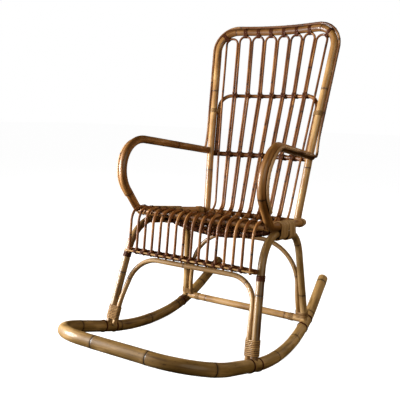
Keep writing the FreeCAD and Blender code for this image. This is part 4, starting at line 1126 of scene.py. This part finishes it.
# %% Nails of the welt
NAIL_SPACING, NAIL_RADIUS, NAIL_FLATNESS = 23.0, 1.7, 0.55
SEARCH_PARTS = 240
carriers = []
for path in (arm_path(1), arm_path(-1), back_path):
    carriers += [path.at(path.length * part / SEARCH_PARTS)[0] for part in range(SEARCH_PARTS + 1)]
nails = PieceMesh()
for number in range(1, int(welt_path.length / NAIL_SPACING)):
    spot = welt_path.at(number * NAIL_SPACING)[0]
    nearest = min(carriers, key=lambda point: (point - spot).length_squared)
    out = (spot - nearest).normalized()
    place = Matrix.Translation((spot + out * WELT_RADIUS) * MM)
    turn = UP.rotation_difference(out).to_matrix().to_4x4()
    shape = place @ turn @ Matrix.Diagonal((1, 1, NAIL_FLATNESS, 1))
    bmesh.ops.create_uvsphere(nails.bm, u_segments=8, v_segments=4, radius=NAIL_RADIUS * MM, matrix=shape)
nails.finish("welt_nails", dark_peel, "dark_peel")

# %% [markdown]
# ## Windings of the frame
# Each foot of a leg is bound to the foot of its brace, and two thin straps go round the runner beside
# it. A texture of stripes would look flat in profile, so each winding is a real strip, drawn tight
# round the circles of one pole or of two that lie together.

# %% Foot windings
FOOT_PEEL, FOOT_GAP, FOOT_TONE = 4.4, 7.0, 0.46
for name, side in SIDES:
    for end_name, front, turns in (("front", True, 9), ("rear", False, 4)):
        foot, rise, inward = foot_frame(side, front)
        centre = foot + rise * (RUNNER_RADIUS + FOOT_GAP + turns * (FOOT_PEEL + PEEL_GAP) / 2)
        winding = PieceMesh()
        add_winding(winding, centre, rise, inward, two_poles, turns, FOOT_PEEL, tone=FOOT_TONE)
        ending = "_" + end_name + "_" + name
        winding.finish("foot_winding_peel" + ending, tan_peel, "pale_peel", "foot_winding" + ending)

# %% Straps of the runner
STRAP_PEEL, STRAP_TURNS, STRAP_SHIFT = 3.0, 2, 27.0
straps = PieceMesh()
for name, side in SIDES:
    for y in (-FRONT_FOOT, REAR_FOOT):
        for shift in (-STRAP_SHIFT, STRAP_SHIFT):
            centre, heading = runner_place(y + shift, side)
            add_winding(straps, centre, heading, UP, [(0, 0, RUNNER_RADIUS, 0)], STRAP_TURNS, STRAP_PEEL)
straps.finish("runner_strap_peel", dark_peel, "dark_peel", "runner_straps")

# %% Wraps below the apron and on the stretcher
WRAP_TURNS, WRAP_ROOM, STRETCHER_WRAP_INSET = 6, 1.5, 52.0
wrap_half = WRAP_TURNS / 2 * (WRAP_PEEL + PEEL_GAP)
wrap_height = APRON_RAIL_HEIGHT - APRON_RAIL_RADIUS - wrap_half - WRAP_ROOM * WRAP_PEEL
end_wraps = PieceMesh()
stretcher_wraps = PieceMesh()
for name, side in SIDES:
    centre, heading = leg_path(side).first(UP, wrap_height)
    add_winding(end_wraps, centre, heading, REARWARD, [(0, 0, LEG_RADIUS, 0)], WRAP_TURNS, WRAP_PEEL)
    foot = runner_place(REAR_FOOT, side)[0]
    centre = foot + STRETCHER_SHIFT - ACROSS * side * STRETCHER_WRAP_INSET
    add_winding(stretcher_wraps, centre, ACROSS, UP, [(0, 0, STRETCHER_RADIUS, 0)], WRAP_TURNS, WRAP_PEEL)
end_wraps.finish("apron_end_wrap_peel", dark_peel, "dark_peel", "apron_end_wraps")
stretcher_wraps.finish("stretcher_wrap_peel", tan_peel, "pale_peel", "stretcher_wraps")

# %% [markdown]
# ## Bindings of the seat
# Two broad windings on each side hold the seat's side rail to the leg arch, and a short one goes round
# the rail near its end. Rail and leg part a little towards the rear, so one circle for the leg would let
# the strip cut into it. The leg has a circle at each end of the winding, and the strip goes round both.

# %% Seat bindings
SEAT_PEEL = 5.6
SEAT_BINDINGS = ((-63.0, 13), (17.5, 12))
RAIL_WINDING_Y, RAIL_WINDING_TURNS = 172.0, 4
# The bindings get half the painted shade at their strip edges.
BINDING_LOOK = {"tone": 0.6, "edge_shade": 0.5}


def leg_circles(side, centre, across, heading, half_length):
    """The leg's circles at both ends of a winding on the side rail."""
    sideways = heading.cross(across)
    leg_start, leg_end = leg_corners(side)[1:3]
    circles = []
    for shift in (-half_length, half_length):
        spot = at_depth(leg_start, leg_end, (centre + heading * shift).y) - centre
        circles.append((spot.dot(across), spot.dot(sideways), LEG_RADIUS, 0))
    return circles


rail_circle = (0, 0, ARM_RADIUS, 0)
for name, side in SIDES:
    heading = flip(RAIL_HEADING, side)
    across = Vector((side, 0, 0))
    across = (across - heading * across.dot(heading)).normalized()
    binding = PieceMesh()
    for y, turns in SEAT_BINDINGS:
        centre = flip(at_depth(RAIL_FRONT, RAIL_REAR, y), side)
        half_length = turns * (SEAT_PEEL + PEEL_GAP) / 2 + SEAT_PEEL / 2
        circles = [rail_circle] + leg_circles(side, centre, across, heading, half_length)
        add_winding(binding, centre, heading, across, circles, turns, SEAT_PEEL, **BINDING_LOOK)
    centre = flip(at_depth(RAIL_FRONT, RAIL_REAR, RAIL_WINDING_Y), side)
    add_winding(binding, centre, heading, across, [rail_circle], RAIL_WINDING_TURNS, SEAT_PEEL,
                **BINDING_LOOK)
    binding.finish("seat_binding_peel_" + name, tan_peel, "dark_peel", "seat_binding_" + name)

# %% [markdown]
# ## Wraps and lashings of the back
# Each hairpin hangs by its crown in a dark wrap on the top rail. Where a bar crosses the rods, strips
# run aslant both ways and cross in front, which keeps paired rods side by side. A ring would be quicker
# to make than a strip, but a ring shows no end and no climb, and peel has both.

# %% Wraps of the top rail
TOP_WRAP_TURNS, CROWN_SLACK = 5, 1.5
crown_circles = [(0, 0, BACK_RADIUS, 0), (-BACK_RADIUS - ROD_TOUCH - CROWN_SLACK, 0, ROD_RADIUS, 0)]
top_wraps = PieceMesh()
for number in range(HAIRPINS):
    x, drop = crown_place(number)
    centre, heading = back_path.first(ACROSS, x, TOP_SPAN)
    across = BACK_RISE
    if abs(x) > TOP_CORNER.x:
        side = math.copysign(1, x)
        middle, turn_axis = flip(TOP_CORNER, side), flip(TOP_CORNER_AXIS, side)
        across = crown_spot(x, drop) - middle
        across = (across - turn_axis * across.dot(turn_axis)).normalized()
        centre, heading = middle + across * BACK_TOP_BEND, across.cross(turn_axis)
    add_winding(top_wraps, centre, heading, across, crown_circles, TOP_WRAP_TURNS, WRAP_PEEL)
top_wraps.finish("top_rail_wrap_peel", dark_peel, "dark_peel", "top_rail_wraps")

# %% Wraps of the upper bar
UPPER_WRAP_HEIGHT = 770.0
bar_wraps = PieceMesh()
for name, side in SIDES:
    centre = flip(at_height(BACK_BEND, BACK_TOP, UPPER_WRAP_HEIGHT), side)
    rise, across = flip(POST_RISE, side), flip(POST_INWARD, side)
    leg = flip(upper_bar_leg(UPPER_WRAP_HEIGHT), side) - centre
    leg_circle = (leg.dot(across), leg.dot(rise.cross(across)), UPPER_BAR_RADIUS, 0)
    add_winding(bar_wraps, centre, rise, across, [(0, 0, BACK_RADIUS, 0), leg_circle], WRAP_TURNS, WRAP_PEEL)
bar_wraps.finish("upper_bar_wrap_peel", tan_peel, "pale_peel", "upper_bar_wraps")

# %% Lashings of the back bars
THIN_PEEL, BAR_TURNS = 2.2, 2
PAIR_HALF_WIDTH = ROD_RADIUS + (2 * ROD_RADIUS + NEIGHBOUR_GAP) / 2


def lash_bar(name, node, path, span, radius, rise, height):
    """Lashings where pairs of rods of neighbouring hairpins cross a bar."""
    mesh = PieceMesh()
    half_span = half_span_at(height)
    for number in range(1, HAIRPINS):
        x = (fan_x(2 * number - 1, half_span) + fan_x(2 * number, half_span)) / 2
        centre, heading = rod_on_bar(path, span, radius, behind(rise), x)
        outward = -heading.cross(rise).normalized()
        add_lashing(mesh, centre, -heading, rise, outward, radius, PAIR_HALF_WIDTH, BAR_TURNS, THIN_PEEL)
    mesh.finish(name, dark_peel, "dark_peel", node)


lash_bar("upper_bar_lashing_peel", "upper_bar_lashings", upper_path, UPPER_SPAN, UPPER_BAR_RADIUS,
         BACK_RISE, UPPER_BAR_HEIGHT)
lash_bar("lower_bar_lashing_peel", "lower_bar_lashings", lower_path, WHOLE_SPAN, LOWER_BAR_RADIUS,
         LOWER_RISE, LOWER_BAR_HEIGHT)

# %% Lashings of the apron
apron_lashings = PieceMesh()
for index in range(1, RODS - 1):
    centre = Vector((apron_x(index), APRON_RAIL_Y, APRON_RAIL_HEIGHT)) + APRON_OUTWARD * ROD_TO_APRON
    add_lashing(apron_lashings, centre, ACROSS, APRON_RISE, APRON_OUTWARD, APRON_RAIL_RADIUS, ROD_RADIUS,
                BAR_TURNS, THIN_PEEL, COVER_STRIP_RADIUS)
apron_lashings.finish("apron_lashing_peel", dark_peel, "dark_peel", "apron_lashings")

# %% [markdown]
# ## Lashings of the seat
# Every rod is tied to the front rail and to both cross rods, and the pairs are tied to the rear rail.
# Between the rods the cross rods are wound all the way. One lashing could be copied along a rail, but
# the rods fan out and the cross rods sag, so each is made where its rod lies.

# %% Lashings of rods on rails
SEARCH_STEP = 2.0
seat_rods = [BentPath(rod_corners(index), ROD_BENDS) for index in range(RODS)]


def rod_at_rail(path, rail):
    """Point of a rod where it lies closest to a rail that runs across."""
    spots = [path.at(step * SEARCH_STEP)[0] for step in range(int(path.length / SEARCH_STEP))]
    return min(spots, key=lambda spot: (spot.y - rail.y) ** 2 + (spot.z - rail.z) ** 2)


def lash_to_rail(mesh, rods, rail, radius, half_width):
    """One lashing of a rod, or of a pair of rods, to a rail."""
    spots = [rod_at_rail(path, rail) for path in rods]
    spot = sum(spots, Vector()) / len(spots)
    outward = Vector((0, spot.y - rail.y, spot.z - rail.z)).normalized()
    centre = Vector((spot.x, rail.y, rail.z)) + outward * (radius + ROD_TOUCH)
    add_lashing(mesh, centre, ACROSS, ACROSS.cross(outward), outward, radius, half_width, 1, THIN_PEEL)


rail_lashings = PieceMesh()
for path in seat_rods:
    lash_to_rail(rail_lashings, [path], RAIL_FRONT, FRONT_RAIL_RADIUS, ROD_RADIUS)
for pair in zip(seat_rods[1:-1:2], seat_rods[2::2]):
    lash_to_rail(rail_lashings, pair, REAR_RAIL, REAR_RAIL_RADIUS, PAIR_HALF_WIDTH)
rail_lashings.finish("seat_rail_lashing_peel", dark_peel, "dark_peel")

# %% Lashings and windings of the cross rods
LASHING_PEEL, WINDING_LIFT = 3.0, 1.0


def lash_to_cross_rod(mesh, cross_rod, axis):
    """One lashing of a rod to a cross rod, square to the cross rod's sag."""
    slope = axis.x / math.sqrt(cross_rod.bow ** 2 - axis.x ** 2)
    along_bar, outward = Vector((1, 0, slope)).normalized(), Vector((-slope, 0, 1)).normalized()
    centre = axis + outward * (CROSS_ROD_RADIUS + ROD_TOUCH)
    add_lashing(mesh, centre, along_bar, REARWARD, outward, CROSS_ROD_RADIUS, ROD_RADIUS, 1, LASHING_PEEL)


def wind_between(mesh, cross_rod, before, after):
    """Winding on a cross rod from one lashing to the next, where there is room for a turn."""
    room = (after - before).length - 2 * ROD_RADIUS
    turns = int(room / (LASHING_PEEL + PEEL_GAP))
    if turns:
        x = (before.x + after.x) / 2
        centre = Vector((x, cross_rod.y, cross_rod_height(cross_rod, x)))
        circles = [(0, 0, CROSS_ROD_RADIUS, 0)]
        add_winding(mesh, centre, after - before, UP, circles, turns, LASHING_PEEL, WINDING_LIFT)


cross_lashings = PieceMesh()
for support, cross_rod in enumerate(CROSS_RODS.values(), start=1):
    crossings = [rod_supports(index)[support].axis for index in range(RODS)]
    for axis in crossings:
        lash_to_cross_rod(cross_lashings, cross_rod, axis)
    for before, after in zip(crossings, crossings[1:]):
        wind_between(cross_lashings, cross_rod, before, after)
cross_lashings.finish("seat_cross_rod_lashing_peel", dark_peel, "dark_peel")

# %% [markdown]
# ## Woven band of the seat
# The slope behind the front rail is woven close with peel, which shows under the rail as a brown band.
# A cloth texture would show no thickness at its edge. So each strip is a tube that goes over one rod and
# under the next, its height a cosine wave with a crest or a trough on every rod.

# %% Woven band
WEAVE_PEEL, WEAVE_PITCH, WEAVE_ROWS, WEAVE_REAR = 4.6, 6.0, 10, -78.0
WEAVE_STEPS, WEAVE_TONE, WEAVE_SHIFT = 8, 0.5, 7.0
weave_thickness = WEAVE_PEEL * PEEL_FLATNESS / 2
weave_lift = ROD_TOUCH + weave_thickness / 2


def add_weave(mesh, y, sense):
    """Strip woven over and under the rods at one depth of the seat."""
    crossings = [path.first(REARWARD, y) for path in seat_rods]
    wave = math.pi / (crossings[1][0].x - crossings[0][0].x)
    rings = []
    for number in range((RODS - 1) * WEAVE_STEPS + 1):
        share = number / WEAVE_STEPS
        before, heading = crossings[math.floor(share)]
        spot = before.lerp(crossings[math.ceil(share)][0], share - math.floor(share))
        normal = ACROSS.cross(heading).normalized()
        turn = math.pi * share
        slope = -sense * weave_lift * math.sin(turn) * wave
        out = (normal - ACROSS * slope).normalized()
        place = spot + normal * sense * weave_lift * math.cos(turn)
        rings.append((place, heading, out, spot.x + WEAVE_SHIFT * y, WEAVE_TONE))
    # Strip edges are painted fully dark, as painted shade between the strips.
    mesh.add_tube(rings, STRIP_SIDES, flat_section(WEAVE_PEEL / 2, weave_thickness / 2, 1.0))


weave = PieceMesh()
for row in range(WEAVE_ROWS):
    add_weave(weave, WEAVE_REAR - row * WEAVE_PITCH, 1 - 2 * (row % 2))
weave.finish("seat_weave_peel", dark_peel, "dark_peel")

# %% [markdown]
# ## Stage
# The chair stands on a pale floor before a white ground. A white floor under lamps would turn grey
# towards the back, so this one glows by itself and gives no light to the chair. One broad window lamp
# from the viewer's left does most of the lighting, and two more keep the other sides readable.

# %% Floor and ground
FLOOR_HALF_SIZE = 30.0
WHITE, FLOOR_GREY = (1.0, 1.0, 1.0, 1.0), (0.3, 0.3, 0.3, 1.0)
FLOOR_GLOW, GROUND_GLOW = 0.985, 1.0
floor_mesh = bpy.data.meshes.new("pale_floor")
floor_grid = bmesh.new()
bmesh.ops.create_grid(floor_grid, x_segments=1, y_segments=1, size=FLOOR_HALF_SIZE)
floor_grid.to_mesh(floor_mesh)
floor_grid.free()
floor = bpy.data.objects.new("pale_floor", floor_mesh)
bpy.context.scene.collection.objects.link(floor)
floor.data.materials.append(Finish("floor_paint").surface({
    "Base Color": FLOOR_GREY, "Roughness": 0.9, "Emission Color": WHITE, "Emission Strength": FLOOR_GLOW}))
floor.visible_diffuse = False
floor.visible_glossy = False
floor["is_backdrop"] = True
world = bpy.data.worlds.new("studio")
world.use_nodes = True
ground = world.node_tree.nodes["Background"]
ground.inputs["Color"].default_value = WHITE
ground.inputs["Strength"].default_value = GROUND_GLOW
world.cycles_visibility.diffuse = False
world.cycles_visibility.glossy = False
bpy.context.scene.world = world
bpy.context.scene.view_settings.view_transform = "Standard"
print("floor is", 2 * FLOOR_HALF_SIZE, "m wide")

# %% Lamps
DAYLIGHT, WARM = (0.98, 0.99, 1.0), (1.0, 0.89, 0.7)
AIM = Vector((0, 0, 0.5))


def soft_lamp(name, place, size, power, colour, glints=True):
    """A round lamp, in metres and watts, that faces the middle of the chair."""
    light = bpy.data.lights.new(name, "AREA")
    light.shape, light.size, light.energy = "DISK", size, power
    light.color = colour
    lamp = bpy.data.objects.new(name, light)
    lamp.location = place
    lamp.rotation_mode = "QUATERNION"
    lamp.rotation_quaternion = (AIM - lamp.location).to_track_quat("-Z", "Y")
    lamp.visible_camera = False
    lamp.visible_glossy = glints
    bpy.context.scene.collection.objects.link(lamp)
    print(name, "lamp is", round((AIM - lamp.location).length, 2), "m from the chair")


soft_lamp("window", (-1.75, -1.2, 0.75), size=1.2, power=130.0, colour=DAYLIGHT)
soft_lamp("fill", (2.3, -1.4, 1.6), size=2.4, power=33.0, colour=WARM)
soft_lamp("back", (0.7, 3.0, 1.6), size=3.0, power=95.0, colour=DAYLIGHT, glints=False)

# %% [markdown]
# ## Camera
# The camera stands at the picture's viewing angle, a little above the arms and to the chair's left. It
# could be aimed by eye, but its place, turns and lens were solved from where the poles cross in the
# picture, so they are given as numbers.

# %% Camera
CAMERA_YAW, CAMERA_PITCH, CAMERA_ROLL = math.radians(30.066), math.radians(7.676), math.radians(1.55)
CAMERA_PLACE = (0.8488, -1.6277, 0.7486)
camera_data = bpy.data.cameras.new("camera")
camera_data.lens, camera_data.sensor_width = 49.29, 36.0
camera_data.shift_x, camera_data.shift_y = -0.00575, -0.0247
camera = bpy.data.objects.new("camera", camera_data)
aimed = Matrix.Rotation(CAMERA_YAW, 4, "Z") @ Matrix.Rotation(math.pi / 2 - CAMERA_PITCH, 4, "X")
camera.matrix_world = Matrix.Translation(CAMERA_PLACE) @ aimed @ Matrix.Rotation(CAMERA_ROLL, 4, "Z")
bpy.context.scene.collection.objects.link(camera)
bpy.context.scene.camera = camera
print("camera has a lens of", round(camera_data.lens, 2), "mm")

# %% [markdown]
# ## Sizes at the end
# The dressed chair's box is printed here, as the solid model's box was at the start. The dressed chair
# has to keep to the solid model's box. Both boxes could be read off the viewport, but printed numbers
# are plainer.

# %% Sizes at the end
visual_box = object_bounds()
print("visual model from", visual_box[0], "to", visual_box[1])
